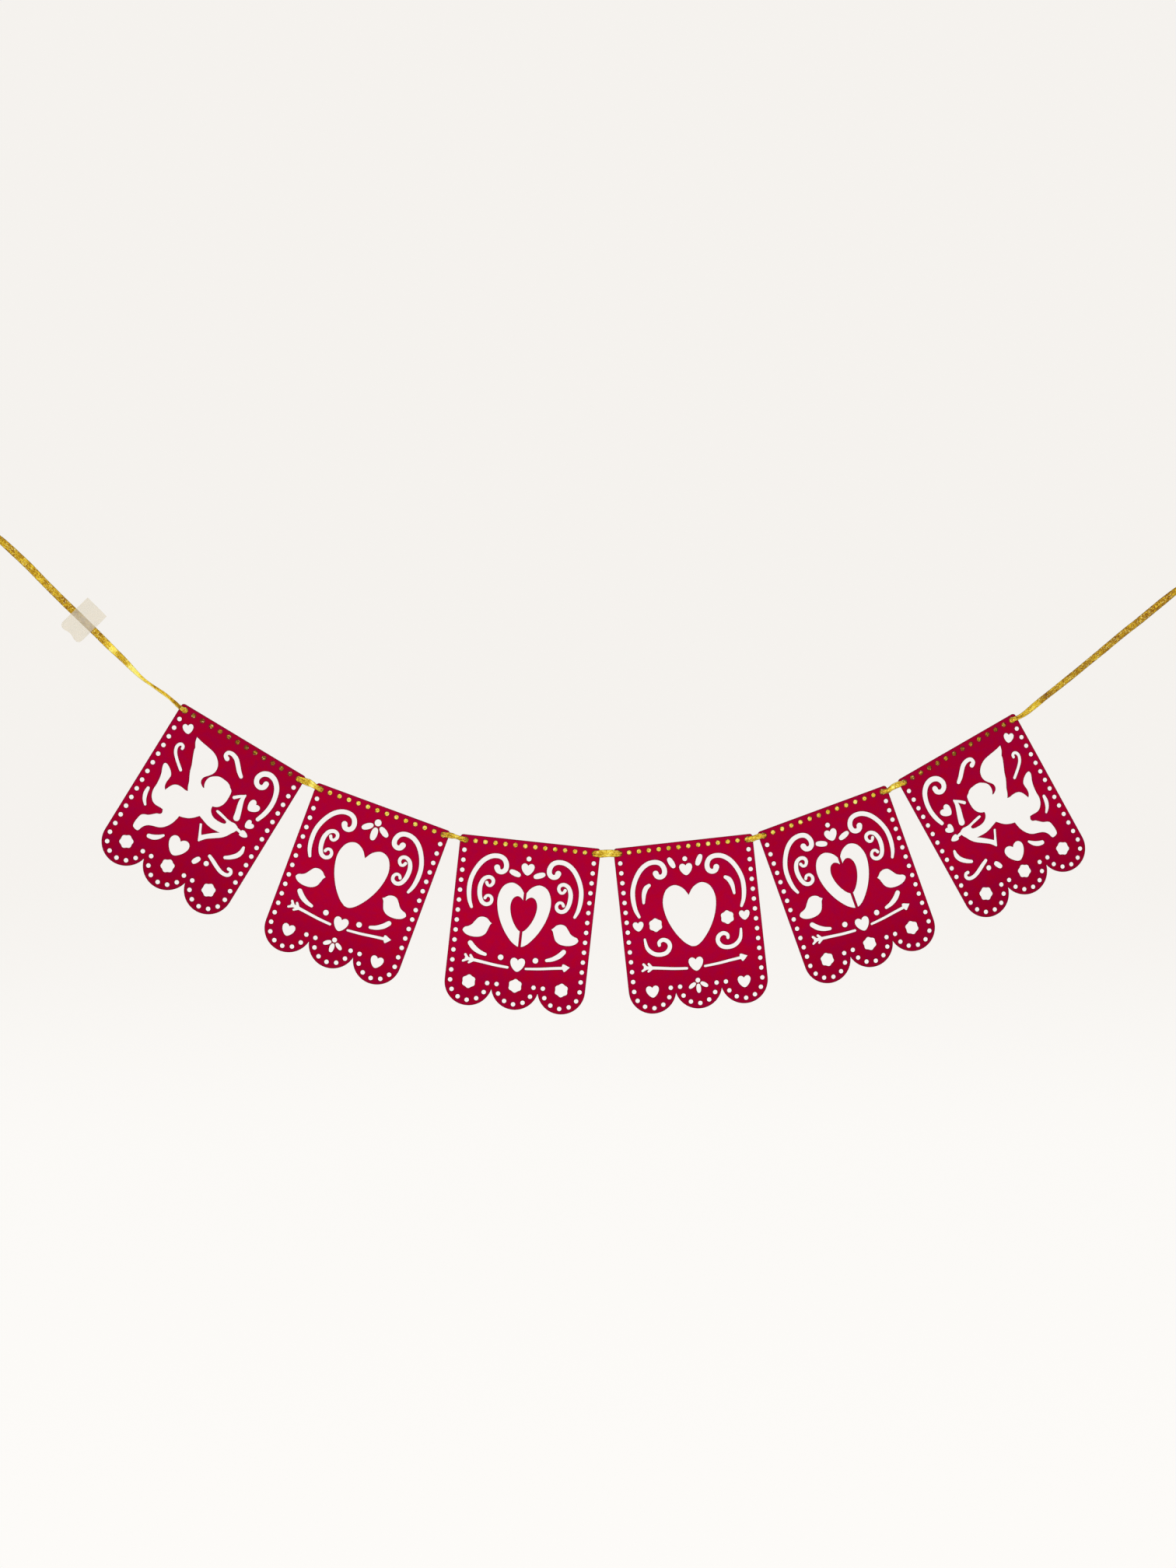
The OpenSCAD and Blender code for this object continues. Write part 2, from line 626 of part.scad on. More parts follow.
// Width of the ribbon just outside a hole: folded between two panels, and twisted narrow at the row's two ends
function outer_w(i, side) = (side < 0 && i == 0) || (side > 0 && i == PANELS - 1) ? twist_w : span_w;

// Rings of the ribbon at one corner hole, in the order from outside the hole to behind the card
function hole_rings(i, side) =
    [for (r = [
        [gather_run, -cross_rise - front_lift, outer_w(i, side), bunch_t],
        [cross_run, -cross_rise, bunch_w + 0.2, bunch_t],
        [0, 0, bunch_w, bunch_t],
        [-cross_run, cross_rise, bunch_w + 0.2, bunch_t],
        [-gather_run, cross_rise, (bunch_w + ribbon_w) / 2, (bunch_t + ribbon_t) / 2],
        [-spread_run, back_rise, ribbon_w, ribbon_t]
    ]) [on_panel(i, side * (hole_span / 2 + r[0]), r[1]), upward(i), r[2], r[3]]];

function backwards(list) = [for (i = [len(list) - 1:-1:0]) list[i]];

function panel_rings(i) = concat(
    hole_rings(i, -1),
    [[on_panel(i, 0, back_rise), upward(i), ribbon_w, ribbon_t]],
    backwards(hole_rings(i, 1))
);

woven_rings = [for (i = [0:PANELS - 1]) each panel_rings(i)];

module ribbon_colour() color([0.78, 0.6, 0.12]) children();

module ribbon_woven() {
    ribbon_colour() band(woven_rings);
}

// The free ribbons: they lie flat to the front, twisted narrow near the panels

function level_across(route, i) =
    let (way = unit(route[min(i + 1, len(route) - 1)] - route[max(i - 1, 0)]))
    unit(cross([0, 1, 0], way));

function tail_ring(route, i, narrow) =
    [route[i], level_across(route, i), mix(ribbon_w, twist_w, narrow), mix(ribbon_t, bunch_t, narrow)];

left_route = [for (p = LEFT_ROUTE) left_knot + p];

left_rings = [for (i = [0:len(left_route) - 1])
    tail_ring(left_route, i, max(0, min(1, (i - LEFT_WIDE_STEPS) / LEFT_TWIST_STEPS)))];

right_route = [for (p = RIGHT_ROUTE) last_hole + p];

right_rings = [for (i = [0:len(right_route) - 1])
    tail_ring(right_route, i, max(0, 1 - i / RIGHT_TWIST_STEPS))];

// The two rings where a free ribbon meets an end of the woven one: the second is that end itself, and the first
// lies just beyond it in the same line, so that they meet squarely
function joining_rings(end, next) =
    [for (run = [0.8, 0]) [end[0] + run * (end[0] - next[0]), -end[1], end[2], end[3]]];

last_ring = len(woven_rings) - 1;

module ribbon_tail_left() {
    ribbon_colour() band(concat(left_rings, joining_rings(woven_rings[0], woven_rings[1])));
}

module ribbon_tail_right() {
    joint = joining_rings(woven_rings[last_ring], woven_rings[last_ring - 1]);
    ribbon_colour() band(concat(backwards(joint), right_rings));
}

// A hanging loop: the ribbon goes out from the knot and back to it, with its width across the loop

module hanging_loop(place, angle) {
    path = curve([
        [knot_l / 2, 0.25 * knot_r], [knot_l + 1, 0.3 * loop_w], [knot_l / 2 + 0.55 * loop_l, 0.5 * loop_w],
        [knot_l / 2 + 0.9 * loop_l, 0.34 * loop_w], [knot_l + loop_l, 0],
        [knot_l / 2 + 0.9 * loop_l, -0.34 * loop_w], [knot_l / 2 + 0.55 * loop_l, -0.5 * loop_w],
        [knot_l + 1, -0.3 * loop_w], [knot_l / 2, -0.25 * knot_r]
    ], 3);
    translate(place) rotate([0, -angle, 0]) {
        band([for (p = path) [[p.x, 0, p.y], [0, 1, 0], ribbon_w, ribbon_t]]);
        rotate([0, 90, 0]) rotate_extrude() {
            polygon([
                [0, 0], [0.62 * knot_r, 0], [0.92 * knot_r, 0.2 * knot_l], [knot_r, 0.5 * knot_l],
                [0.92 * knot_r, 0.8 * knot_l], [0.62 * knot_r, knot_l], [0, knot_l]
            ]);
        }
    }
}

module ribbon_loop_left() {
    ribbon_colour() hanging_loop(left_knot, LEFT_END_ANGLE);
}

module ribbon_loop_right() {
    ribbon_colour() hanging_loop(right_route[len(right_route) - 1], RIGHT_END_ANGLE);
}

// The tape: flat on the wall at both ends and raised where it passes over the ribbon

module tape_outline() {
    half = [tape_l / 2, tape_w / 2];
    difference() {
        union() {
            translate([-half.x + tape_r, -half.y]) square([tape_l - tape_r, tape_w]);
            translate([-half.x, -half.y + tape_r]) square([tape_r, tape_w - 2 * tape_r]);
            for (s = [-1, 1]) translate([-half.x + tape_r, s * (half.y - tape_r)]) circle(tape_r);
        }
        translate([-half.x - tape_w / 2, 0]) circle(tape_w / 2 + 1);
    }
}

// The tape's section along its length, with the wall at y = 0
module tape_section() {
    flat_end = ribbon_w / 2 + 1.6;
    top = ribbon_w / 2 + 0.4;
    rise = ribbon_t + 2 * tape_gap;
    polygon([
        [-tape_l, 0], [-flat_end, 0], [-top, rise], [top, rise], [flat_end, 0], [tape_l, 0],
        [tape_l, tape_t], [flat_end + tape_t / 4, tape_t], [top + tape_t / 4, rise + tape_t],
        [-top - tape_t / 4, rise + tape_t], [-flat_end - tape_t / 4, tape_t], [-tape_l, tape_t]
    ]);
}

module tape_strip() {
    spot = left_route[TAPE_STEP];
    color([0.9, 0.88, 0.82, 0.6])
        translate([spot.x, spot.y + ribbon_t / 2 + tape_gap, spot.z]) rotate([0, -TAPE_ANGLE, 0]) intersection() {
            rotate([90, 0, 0]) linear_extrude(5, center = true) tape_outline();
            translate([0, 0, -tape_w]) mirror([0, 1, 0]) linear_extrude(2 * tape_w) tape_section();
        }
}

panel_1_cherub();
panel_2_heart();
panel_3_bridged_heart();
panel_4_heart();
panel_5_bridged_heart();
panel_6_cherub();
ribbon_woven();
ribbon_tail_left();
ribbon_tail_right();
ribbon_loop_left();
ribbon_loop_right();
tape_strip();
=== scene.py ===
import math

import bpy
import numpy as np
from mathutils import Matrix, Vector, noise


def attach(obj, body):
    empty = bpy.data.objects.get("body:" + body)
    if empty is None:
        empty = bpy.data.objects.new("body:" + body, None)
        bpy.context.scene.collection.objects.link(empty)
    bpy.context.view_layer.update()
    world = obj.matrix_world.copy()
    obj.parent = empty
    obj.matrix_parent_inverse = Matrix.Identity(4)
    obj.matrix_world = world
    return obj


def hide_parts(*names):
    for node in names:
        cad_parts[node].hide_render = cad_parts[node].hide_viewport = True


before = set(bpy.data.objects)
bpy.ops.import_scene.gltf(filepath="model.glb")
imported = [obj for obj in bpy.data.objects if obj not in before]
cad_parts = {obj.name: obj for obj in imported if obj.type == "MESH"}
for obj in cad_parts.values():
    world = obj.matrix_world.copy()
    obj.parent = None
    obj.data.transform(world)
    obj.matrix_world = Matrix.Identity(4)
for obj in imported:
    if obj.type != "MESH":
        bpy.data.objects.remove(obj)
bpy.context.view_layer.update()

MM = 0.001

# The row's layout, in millimetres and degrees, with the same values as its solids: the way between a
# card's two corner holes and, from left to right, how far each card slopes down to the right, how far it
# turns about its upright line, and the way from its right hole to the next card's left one.
HOLE_SPAN = 92.3
TILTS = [31.3, 20.3, 6.3, -6.2, -19.8, -29.3]
TURNS = [1.5, -2.0, 1.0, -1.5, 2.0, 3.0]
SPANS = [16.7, 15.8, 17.4, 12.0, 16.2]
PANEL_NODES = [
    "panel_1_cherub", "panel_2_heart", "panel_3_bridged_heart", "panel_4_heart", "panel_5_bridged_heart",
    "panel_6_cherub",
]
PANELS = range(len(PANEL_NODES))
GAPS = range(len(SPANS))
# The knots and hanging loops at both ends, and the ribbon's flat width and thickness
LEFT_END_ANGLE = 136.5
RIGHT_END_ANGLE = 37.5
KNOT_L = 5.5
LOOP_L = 16.5
LOOP_W = 9.0
RIBBON_W = 6.0
RIBBON_T = 0.3
LOOP_REACH = KNOT_L + LOOP_L - RIBBON_T / 2
# The first corner hole and the left free ribbon, from the left knot, and the right one, from the last
# corner hole
FIRST_HOLE = [134.0, 0.0, -125.0]
LEFT_ROUTE = [
    [0, 0, 0], [4, 0.1, -3.8], [10, 0.6, -9.4], [17, 1.2, -16], [25.9, 1.9, -24.6], [35.3, 2.4, -34.1],
    [43.8, 2.7, -42.7], [52.3, 2.85, -51.5], [63.3, 2.85, -62.4], [72.9, 2.85, -71.7], [83.1, 2.4, -81.8],
    [91.5, 1.7, -89.8], [98.6, 1, -97], [105.7, 0.3, -103.4], [114, -0.3, -109.4], [122.2, -0.6, -115.4],
]
RIGHT_ROUTE = [
    [8.6, 1.6, 5], [15, 1.3, 10], [21.9, 1, 15.6], [29.8, 0.7, 21.8], [38.6, 0.5, 28.8], [47.5, 0.3, 35.8],
    [56.2, 0.2, 42.9], [65, 0.1, 50.1], [73.8, 0.1, 57.4], [82.7, 0, 64.6], [91.8, 0, 71.5], [100.8, 0, 78.6],
    [109.8, 0, 85.7], [117.8, 0, 91.9], [124.8, 0, 97.3], [130.8, 0, 101.9],
]
# The tape's point on the left route, the angle of its length and its room over the ribbon
TAPE_STEP = 8
TAPE_ANGLE = 45.0
TAPE_GAP = 0.05


def arr(*values):
    return np.array(values, dtype=float)


def unit(v):
    return v / np.linalg.norm(v)


def slope(degrees):
    """Direction in the row's plane, at this angle above level"""
    a = math.radians(degrees)
    return arr(math.cos(a), 0, math.sin(a))


TO_BACK = arr(0, 1, 0)
left_knot = -LOOP_REACH * slope(LEFT_END_ANGLE)
step_right = [HOLE_SPAN * math.cos(math.radians(TURNS[i])) * slope(-TILTS[i]) for i in PANELS]
span_right = [SPANS[i] * slope(-(TILTS[i] + TILTS[i + 1]) / 2) for i in GAPS]
left_hole = [left_knot + arr(*FIRST_HOLE)]
for i in GAPS:
    left_hole.append(left_hole[i] + step_right[i] + span_right[i])
right_hole = [left_hole[i] + step_right[i] for i in PANELS]
panel_middle = [(left_hole[i] + right_hole[i]) / 2 for i in PANELS]


def along(i):
    """Direction along a panel's row of holes, to the right"""
    c, s = math.cos(math.radians(TURNS[i])), math.sin(math.radians(TURNS[i]))
    return c * slope(-TILTS[i]) + s * TO_BACK


def backward(i):
    """Direction out of a panel's back"""
    c, s = math.cos(math.radians(TURNS[i])), math.sin(math.radians(TURNS[i]))
    return c * TO_BACK - s * slope(-TILTS[i])


def upward(i):
    """Direction up a panel, square to its row of holes"""
    return slope(90 - TILTS[i])


def on_panel(i, u, back):
    """The place level with a panel's corner holes, u to the right of its middle and this far behind it"""
    return panel_middle[i] + u * along(i) + back * backward(i)


left_route = [left_knot + arr(*p) for p in LEFT_ROUTE]
right_route = [right_hole[-1] + arr(*p) for p in RIGHT_ROUTE]

# The camera, level with the middle of the picture and a little to the left of straight on
CAMERA_TARGET = arr(432.4, 0, -191.5)
CAMERA_AZIMUTH = 4.0
CAMERA_DISTANCE = 1300.0
CAMERA_LENS = 42.02
CAMERA_SENSOR = 36.0
CAMERA_NEAR = 0.05

camera_angle = math.radians(CAMERA_AZIMUTH)
camera_place = CAMERA_TARGET - CAMERA_DISTANCE * arr(math.sin(camera_angle), math.cos(camera_angle), 0)
camera_data = bpy.data.cameras.new("camera")
camera_data.sensor_fit = "VERTICAL"
camera_data.sensor_height = CAMERA_SENSOR
camera_data.lens = CAMERA_LENS
camera_data.clip_start = CAMERA_NEAR
camera = bpy.data.objects.new("camera", camera_data)
camera.location = Vector(camera_place * MM)
camera.rotation_euler = (math.radians(90), 0, -camera_angle)
bpy.context.collection.objects.link(camera)
bpy.context.scene.camera = camera


# Materials: a short way to build a node tree

class Tree:
    """A material whose nodes are added, set and joined in one call each"""

    def __init__(self, name):
        self.material = bpy.data.materials.new(name)
        self.material.use_nodes = True
        self.nodes = self.material.node_tree.nodes
        self.links = self.material.node_tree.links
        self.nodes.clear()
        self.shader = self.add("ShaderNodeBsdfPrincipled")
        out = self.add("ShaderNodeOutputMaterial")
        self.join(self.shader.outputs["BSDF"], out.inputs["Surface"])

    def add(self, kind, **settings):
        node = self.nodes.new(kind)
        for name, value in settings.items():
            setattr(node, name, value)
        return node

    def join(self, source, target):
        """Links a socket, or sets the target to a plain value"""
        if hasattr(source, "links"):
            self.links.new(source, target)
        else:
            target.default_value = source

    def maths(self, operation, a, b=0.0, clamp=False):
        node = self.add("ShaderNodeMath", operation=operation, use_clamp=clamp)
        self.join(a, node.inputs[0])
        self.join(b, node.inputs[1])
        return node.outputs[0]

    def times(self, a, b):
        return self.maths("MULTIPLY", a, b)

    def total(self, first, *rest):
        for value in rest:
            first = self.maths("ADD", first, value)
        return first

    def vector(self, operation, a, b):
        """Arithmetic with a vector and a second one, or a factor where the operation is SCALE"""
        node = self.add("ShaderNodeVectorMath", operation=operation)
        self.join(a, node.inputs[0])
        self.join(b, node.inputs["Scale" if operation == "SCALE" else 1])
        return node.outputs["Value" if operation == "DOT_PRODUCT" else "Vector"]

    def spread(self, value, low, high, to_low=0.0, to_high=1.0, smooth=False):
        """The value carried over from one range to another, and kept inside it"""
        node = self.add("ShaderNodeMapRange", clamp=True)
        if smooth:
            node.interpolation_type = "SMOOTHSTEP"
        for k, x in enumerate((value, low, high, to_low, to_high)):
            self.join(x, node.inputs[k])
        return node.outputs[0]

    def mix(self, factor, a, b):
        node = self.add("ShaderNodeMix", data_type="RGBA")
        self.join(factor, node.inputs[0])
        self.join(a, node.inputs[6])
        self.join(b, node.inputs[7])
        return node.outputs[2]

    def noise(self, place, scale, detail, roughness=0.5, distortion=0.0):
        node = self.add("ShaderNodeTexNoise")
        self.join(place, node.inputs["Vector"])
        node.inputs["Scale"].default_value = scale
        node.inputs["Detail"].default_value = detail
        node.inputs["Roughness"].default_value = roughness
        node.inputs["Distortion"].default_value = distortion
        return node.outputs["Fac"]

    def cells(self, place, scale):
        """Three random values for each cell"""
        node = self.add("ShaderNodeTexVoronoi")
        self.join(place, node.inputs["Vector"])
        node.inputs["Scale"].default_value = scale
        return self.parts(node.outputs["Color"])

    def place(self):
        return self.add("ShaderNodeTexCoord").outputs["Object"]

    def attribute(self, name):
        return self.add("ShaderNodeAttribute", attribute_name=name).outputs["Fac"]

    def parts(self, vector):
        node = self.add("ShaderNodeSeparateXYZ")
        self.join(vector, node.inputs[0])
        return node.outputs

    def stretch(self, vector, scale):
        node = self.add("ShaderNodeMapping")
        self.join(vector, node.inputs[0])
        node.inputs["Scale"].default_value = scale
        return node.outputs[0]

    def bump(self, height, distance, strength):
        node = self.add("ShaderNodeBump")
        self.join(height, node.inputs["Height"])
        node.inputs["Distance"].default_value = distance
        node.inputs["Strength"].default_value = strength
        return node.outputs[0]

    def set(self, **values):
        """Sets or joins the shader's own sockets, by their names"""
        for name, value in values.items():
            self.join(value, self.shader.inputs[name.replace("_", " ")])


def rgb(r, g, b):
    return (r, g, b, 1.0)


def fill_ramp(ramp, stops):
    """Sets a colour ramp's stops, two of which it has from the start"""
    for k, (position, colour) in enumerate(stops):
        spot = ramp.elements[k] if k < 2 else ramp.elements.new(position)
        spot.position = position
        spot.color = colour


# The ribbon's flakes, patches and ribs, by their number per centimetre in the map that runs along it, and
# how that map is stretched for each of them
FINE_FLAKES = 21.0
COARSE_FLAKES = 11.0
PATCHES = 2.2
RIBS = 9.0
FLAKE_STRETCH = (0.75, 1.0, 1.0)
PATCH_STRETCH = (0.5, 1.0, 1.0)
RIB_STRETCH = (0.08, 2.4, 1.0)
# How much the flakes, the patches, the painted streaks of light and shade along the folds and the painted
# light and shade attribute change the gold's level, at least and at most
FINE_SHARE = 0.42
COARSE_SHARE = (0.28, 0.55)
PATCH_SHARE = (0.04, 0.26)
PAINTED_STREAK_SHARE = (0.14, 0.46)
PAINTED_LIGHT_SHARE = 0.95
# The gold by its level, the darker colour of its edges, the pale yellow of its painted glints, and the height
# of its relief in metres
GOLD_STOPS = [
    (0.10, rgb(0.16, 0.050, 0.012)), (0.35, rgb(0.38, 0.197, 0.014)), (0.56, rgb(0.60, 0.387, 0.026)),
    (0.87, rgb(0.95, 0.71, 0.050)), (1.0, rgb(1.0, 0.92, 0.24)),
]
GOLD_EDGE = rgb(0.13, 0.075, 0.035)
GOLD_PAINTED_GLINT = rgb(1.0, 0.95, 0.42)
GOLD_ROUGHNESS = (0.28, 0.5)
GOLD_RELIEF = 0.00012
# Between which shares of the half width the edge gets darker, by how much, and how much rougher it is
EDGE_BAND = (0.82, 0.97)
EDGE_DARKENS = 0.75
EDGE_ROUGHENS = 0.2
# Which flakes get a painted glint, by their random value, and how much of it is painted on
PAINTED_GLINT_BAND = (0.9, 0.97)
PAINTED_GLINT_MIX = 0.6


def gold_ribbon(name):
    """Ribbon woven with metal thread and glitter. The painted light attribute paints shade below 1 and light
    above, the bunched attribute paints streaks of light and shade where it is folded up, and the edge
    attribute darkens its edges."""
    t = Tree(name)
    run = t.add("ShaderNodeUVMap", uv_map="ribbon_map").outputs[0]
    long_run = t.stretch(run, FLAKE_STRETCH)
    fine = t.cells(long_run, FINE_FLAKES)
    coarse = t.cells(long_run, COARSE_FLAKES)
    patches = t.noise(t.stretch(run, PATCH_STRETCH), PATCHES, 3.0)
    ribs = t.noise(t.stretch(run, RIB_STRETCH), RIBS, 2.0)
    # Painted light and shade: this attribute paints light where the ribbon should catch the lamps and shade
    # where it should lie in shadow
    painted_light = t.attribute("painted_light")
    # Painted highlights and shade in streaks along the folds
    painted_fold_streaks = t.spread(t.attribute("bunched"), 0.0, 1.0, *PAINTED_STREAK_SHARE)
    level = t.total(
        t.times(fine[0], FINE_SHARE),
        t.times(coarse[1], t.spread(painted_light, 1.1, 1.25, *COARSE_SHARE)),
        t.spread(patches, 0.3, 0.7, *PATCH_SHARE),
        t.times(t.spread(ribs, 0.32, 0.68, -0.3, 0.7), painted_fold_streaks),
        t.times(t.maths("SUBTRACT", painted_light, 1.0), PAINTED_LIGHT_SHARE),
    )
    ramp = t.add("ShaderNodeValToRGB")
    t.join(level, ramp.inputs[0])
    fill_ramp(ramp.color_ramp, GOLD_STOPS)
    edge = t.spread(t.attribute("edge"), *EDGE_BAND, smooth=True)
    colour = t.mix(t.times(edge, EDGE_DARKENS), ramp.outputs[0], GOLD_EDGE)
    # Painted glints: pale yellow painted on the flakes with the highest random value
    painted_glint = t.spread(fine[1], *PAINTED_GLINT_BAND)
    rough = t.spread(fine[2], 0.0, 1.0, *GOLD_ROUGHNESS)
    height = t.total(t.times(fine[2], 0.6), t.times(ribs, 0.8))
    t.set(
        Base_Color=t.mix(t.times(painted_glint, PAINTED_GLINT_MIX), colour, GOLD_PAINTED_GLINT),
        Roughness=t.maths("ADD", rough, t.times(edge, EDGE_ROUGHENS), clamp=True),
        Metallic=0.92, Specular_IOR_Level=0.1, Normal=t.bump(height, GOLD_RELIEF, 0.8),
    )
    return t.material


# The card's mottle goes from cool to warm, its fibres are deep, and its rim and cut edge are nearly black,
# partly burn from the cut and partly painted shadow
CARD_COOL = (0.375, 0.0005, 0.043)
CARD_WARM = (0.43, 0.0005, 0.023)
CARD_DEEP = (0.25, 0.0, 0.018)
CARD_BURN_AND_SHADOW_RIM = rgb(0.055, 0.012, 0.014)
CARD_BURN_AND_SHADE_EDGE = rgb(0.09, 0.012, 0.014)
CARD_ROUGHNESS = (0.72, 0.9)
# The mottle, grain and fibres by their number per metre, and how much grain and fibres tint the card
MOTTLES = 160.0
GRAINS = 1500.0
FIBRES = 700.0
FIBRE_STRETCH = (1.0, 1.0, 3.2)
GRAIN_TINT = 0.16
FIBRE_TINT = 0.10
TINT_BAND = (0.09, 0.17, 0.0, 0.22)
# How much a rounded corner has to turn to count as rim, and how much the rim and the cut edge are darkened
RIM_BAND = (0.995, 0.9)
RIM_MIX = 0.85
EDGE_MIX = 0.8
# In metres: the width of the rim, the height of the card's relief, and the stretches below its line of
# holes in which painted shade darkens it towards the scallops and towards the top, with the share of light
# that is left there
RIM_WIDTH = 0.0012
CARD_RELIEF = 0.00006
LOW_PAINTED_SHADE = (-0.118, -0.06, 0.79, 1.0)
TOP_PAINTED_SHADE = (-0.045, -0.005, 1.0, 0.955)


def with_painted_brightness(colour, painted_brightness):
    """A card colour with its red and blue scaled by the card's painted brightness, painted light for its
    place in the row
    """
    return rgb(colour[0] * painted_brightness, colour[1], colour[2] * painted_brightness)


def crimson_card(name, painted_brightness, hole_line, up):
    """Dyed card: a soft mottle, fine fibres, painted light for its place in the row, painted shade towards
    its scallops and top, and a darker rim and edge where it was cut, partly burn and partly painted shadow
    """
    t = Tree(name)
    place = t.place()
    mottle = t.spread(t.noise(place, MOTTLES, 4.0, 0.65), 0.34, 0.66)
    grain = t.noise(place, GRAINS, 3.0, 0.7)
    fibres = t.noise(t.stretch(place, FIBRE_STRETCH), FIBRES, 3.0, 0.6, 0.6)
    colour = t.mix(mottle, with_painted_brightness(CARD_COOL, painted_brightness), with_painted_brightness(CARD_WARM, painted_brightness))
    tint = t.total(t.times(grain, GRAIN_TINT), t.times(fibres, FIBRE_TINT))
    colour = t.mix(t.spread(tint, *TINT_BAND), colour, with_painted_brightness(CARD_DEEP, painted_brightness))
    # Painted shade: the card is darkened towards its scallops and towards its top
    rise = t.vector("DOT_PRODUCT", t.vector("SUBTRACT", place, hole_line), up)
    light = t.times(t.spread(rise, *LOW_PAINTED_SHADE, smooth=True), t.spread(rise, *TOP_PAINTED_SHADE, smooth=True))
    colour = t.vector("SCALE", colour, light)
    normal = t.add("ShaderNodeNewGeometry").outputs["True Normal"]
    # The dark rim along every cut and the dark cut edge are partly burn and partly painted shadow
    rounded = t.add("ShaderNodeBevel", samples=6)
    rounded.inputs["Radius"].default_value = RIM_WIDTH
    rim = t.spread(t.vector("DOT_PRODUCT", rounded.outputs[0], normal), *RIM_BAND)
    colour = t.mix(t.times(rim, RIM_MIX), colour, CARD_BURN_AND_SHADOW_RIM)
    sideways = t.maths("LESS_THAN", t.maths("ABSOLUTE", t.parts(normal)[1]), 0.5)
    colour = t.mix(t.times(sideways, EDGE_MIX), colour, CARD_BURN_AND_SHADE_EDGE)
    height = t.total(t.times(grain, 0.5), t.times(fibres, 0.7))
    t.set(
        Base_Color=colour, Roughness=t.spread(grain, 0.3, 0.7, *CARD_ROUGHNESS), Specular_IOR_Level=0.0,
        Normal=t.bump(height, CARD_RELIEF, 0.7),
    )
    return t.material


# The tape's clouds and pressed marks by their number per metre, its colours where it is thin and where it
# is cloudy, how much it hides there, and the height of its relief in metres
CLOUDS = 120.0
MARKS = 500.0
TAPE_THIN = rgb(0.69, 0.63, 0.48)
TAPE_CLOUDY = rgb(0.76, 0.70, 0.57)
TAPE_HIDES = (0.33, 0.45)
TAPE_ROUGHNESS = (0.5, 0.62)
TAPE_RELIEF = 0.00002


def frosted_tape(name):
    """Matt sticky tape: see-through, a little cloudy, with faint pressed marks"""
    t = Tree(name)
    place = t.place()
    cloud = t.noise(place, CLOUDS, 2.5)
    marks = t.noise(place, MARKS, 2.0)
    t.set(
        Base_Color=t.mix(t.spread(cloud, 0.35, 0.65), TAPE_THIN, TAPE_CLOUDY),
        Alpha=t.spread(cloud, 0.3, 0.7, *TAPE_HIDES), Roughness=t.spread(marks, 0.3, 0.7, *TAPE_ROUGHNESS),
        Normal=t.bump(marks, TAPE_RELIEF, 0.2),
    )
    return t.material


GOLD = gold_ribbon("gold_ribbon")
TAPE = frosted_tape("frosted_tape")


# The ribbon is one swept strip, from the left knot to the right one. A station is a row of numbers: its
# place, the direction across the ribbon, its width, the depth and phase of its folds, its twist, how far
# its edges lie behind its middle, and its painted light and shade.
X, A, WIDTH, FOLD, PHASE, TWIST, CROWN, PAINTED_LIGHT = slice(0, 3), slice(3, 6), 6, 7, 8, 9, 10, 11
LOOK = slice(6, 12)
# The strip's facets across, the waves of its folds across its width, its thickness, and how much thinner its
# edges are
CROSS_STEPS = 14
WAVES = 1.5
VISIBLE_T = 0.22
EDGE_THINNING = 0.5
# How fast the ribbon's wobble and its wrinkles change along it and across it, and how much they change
WOBBLE_RATE = 0.21
WOBBLE_OF_WIDTH = 0.03
WOBBLE_OF_PHASE = 0.6
WRINKLE_RATES = (0.35, 1.7)
WRINKLE_DEPTH = 0.03
WRINKLE_OF_FOLD = 0.22
# The depth of folds that counts as fully bunched, the millimetres in a unit of the ribbon's map, and the
# place of the ribbon's back in that map
FULL_BUNCH = 0.3
MAP_UNIT = 10
MAP_BACK = 0.9
# How far the edges of a nearly flat ribbon lie behind its middle, and the least way between two stations
FLAT_CROWN = 0.05
LEAST_GAP = 0.05


def station(at, across, width, fold=0.05, phase=0.0, twist=0.0, crown=0.1, painted_light=1.0):
    return np.concatenate([at, unit(across), [width, fold, phase, twist, crown, painted_light]])


def smooth_run(keys, step, most=60):
    """Points on a smooth curve through the keys, which may be unevenly spaced, about a step apart"""
    keys = np.array(keys)
    gap = np.maximum(np.linalg.norm(np.diff(keys[:, X], axis=0), axis=1), LEAST_GAP)
    slopes = np.diff(keys, axis=0) / gap[:, None]
    tangent = np.empty_like(keys)
    tangent[0], tangent[-1] = slopes[0], slopes[-1]
    for k in range(1, len(keys) - 1):
        tangent[k] = (slopes[k - 1] * gap[k] + slopes[k] * gap[k - 1]) / (gap[k - 1] + gap[k])
    out = []
    for k in range(len(keys) - 1):
        pieces = int(min(most, max(2, math.ceil(gap[k] / step))))
        for j in range(pieces):
            f = j / pieces
            a, b = keys[k], keys[k + 1]
            m, n = tangent[k] * gap[k], tangent[k + 1] * gap[k]
            row = (2 * f**3 - 3 * f**2 + 1) * a + (f**3 - 2 * f**2 + f) * m
            row = row + (3 * f**2 - 2 * f**3) * b + (f**3 - f**2) * n
            row[LOOK] = a[LOOK] + (b[LOOK] - a[LOOK]) * f * f * (3 - 2 * f)
            out.append(row)
    out.append(keys[-1])
    return out


def distances(rows):
    """Each station's distance along the ribbon"""
    place = np.array([r[X] for r in rows])
    return np.concatenate([[0], np.cumsum(np.linalg.norm(np.diff(place, axis=0), axis=1))])


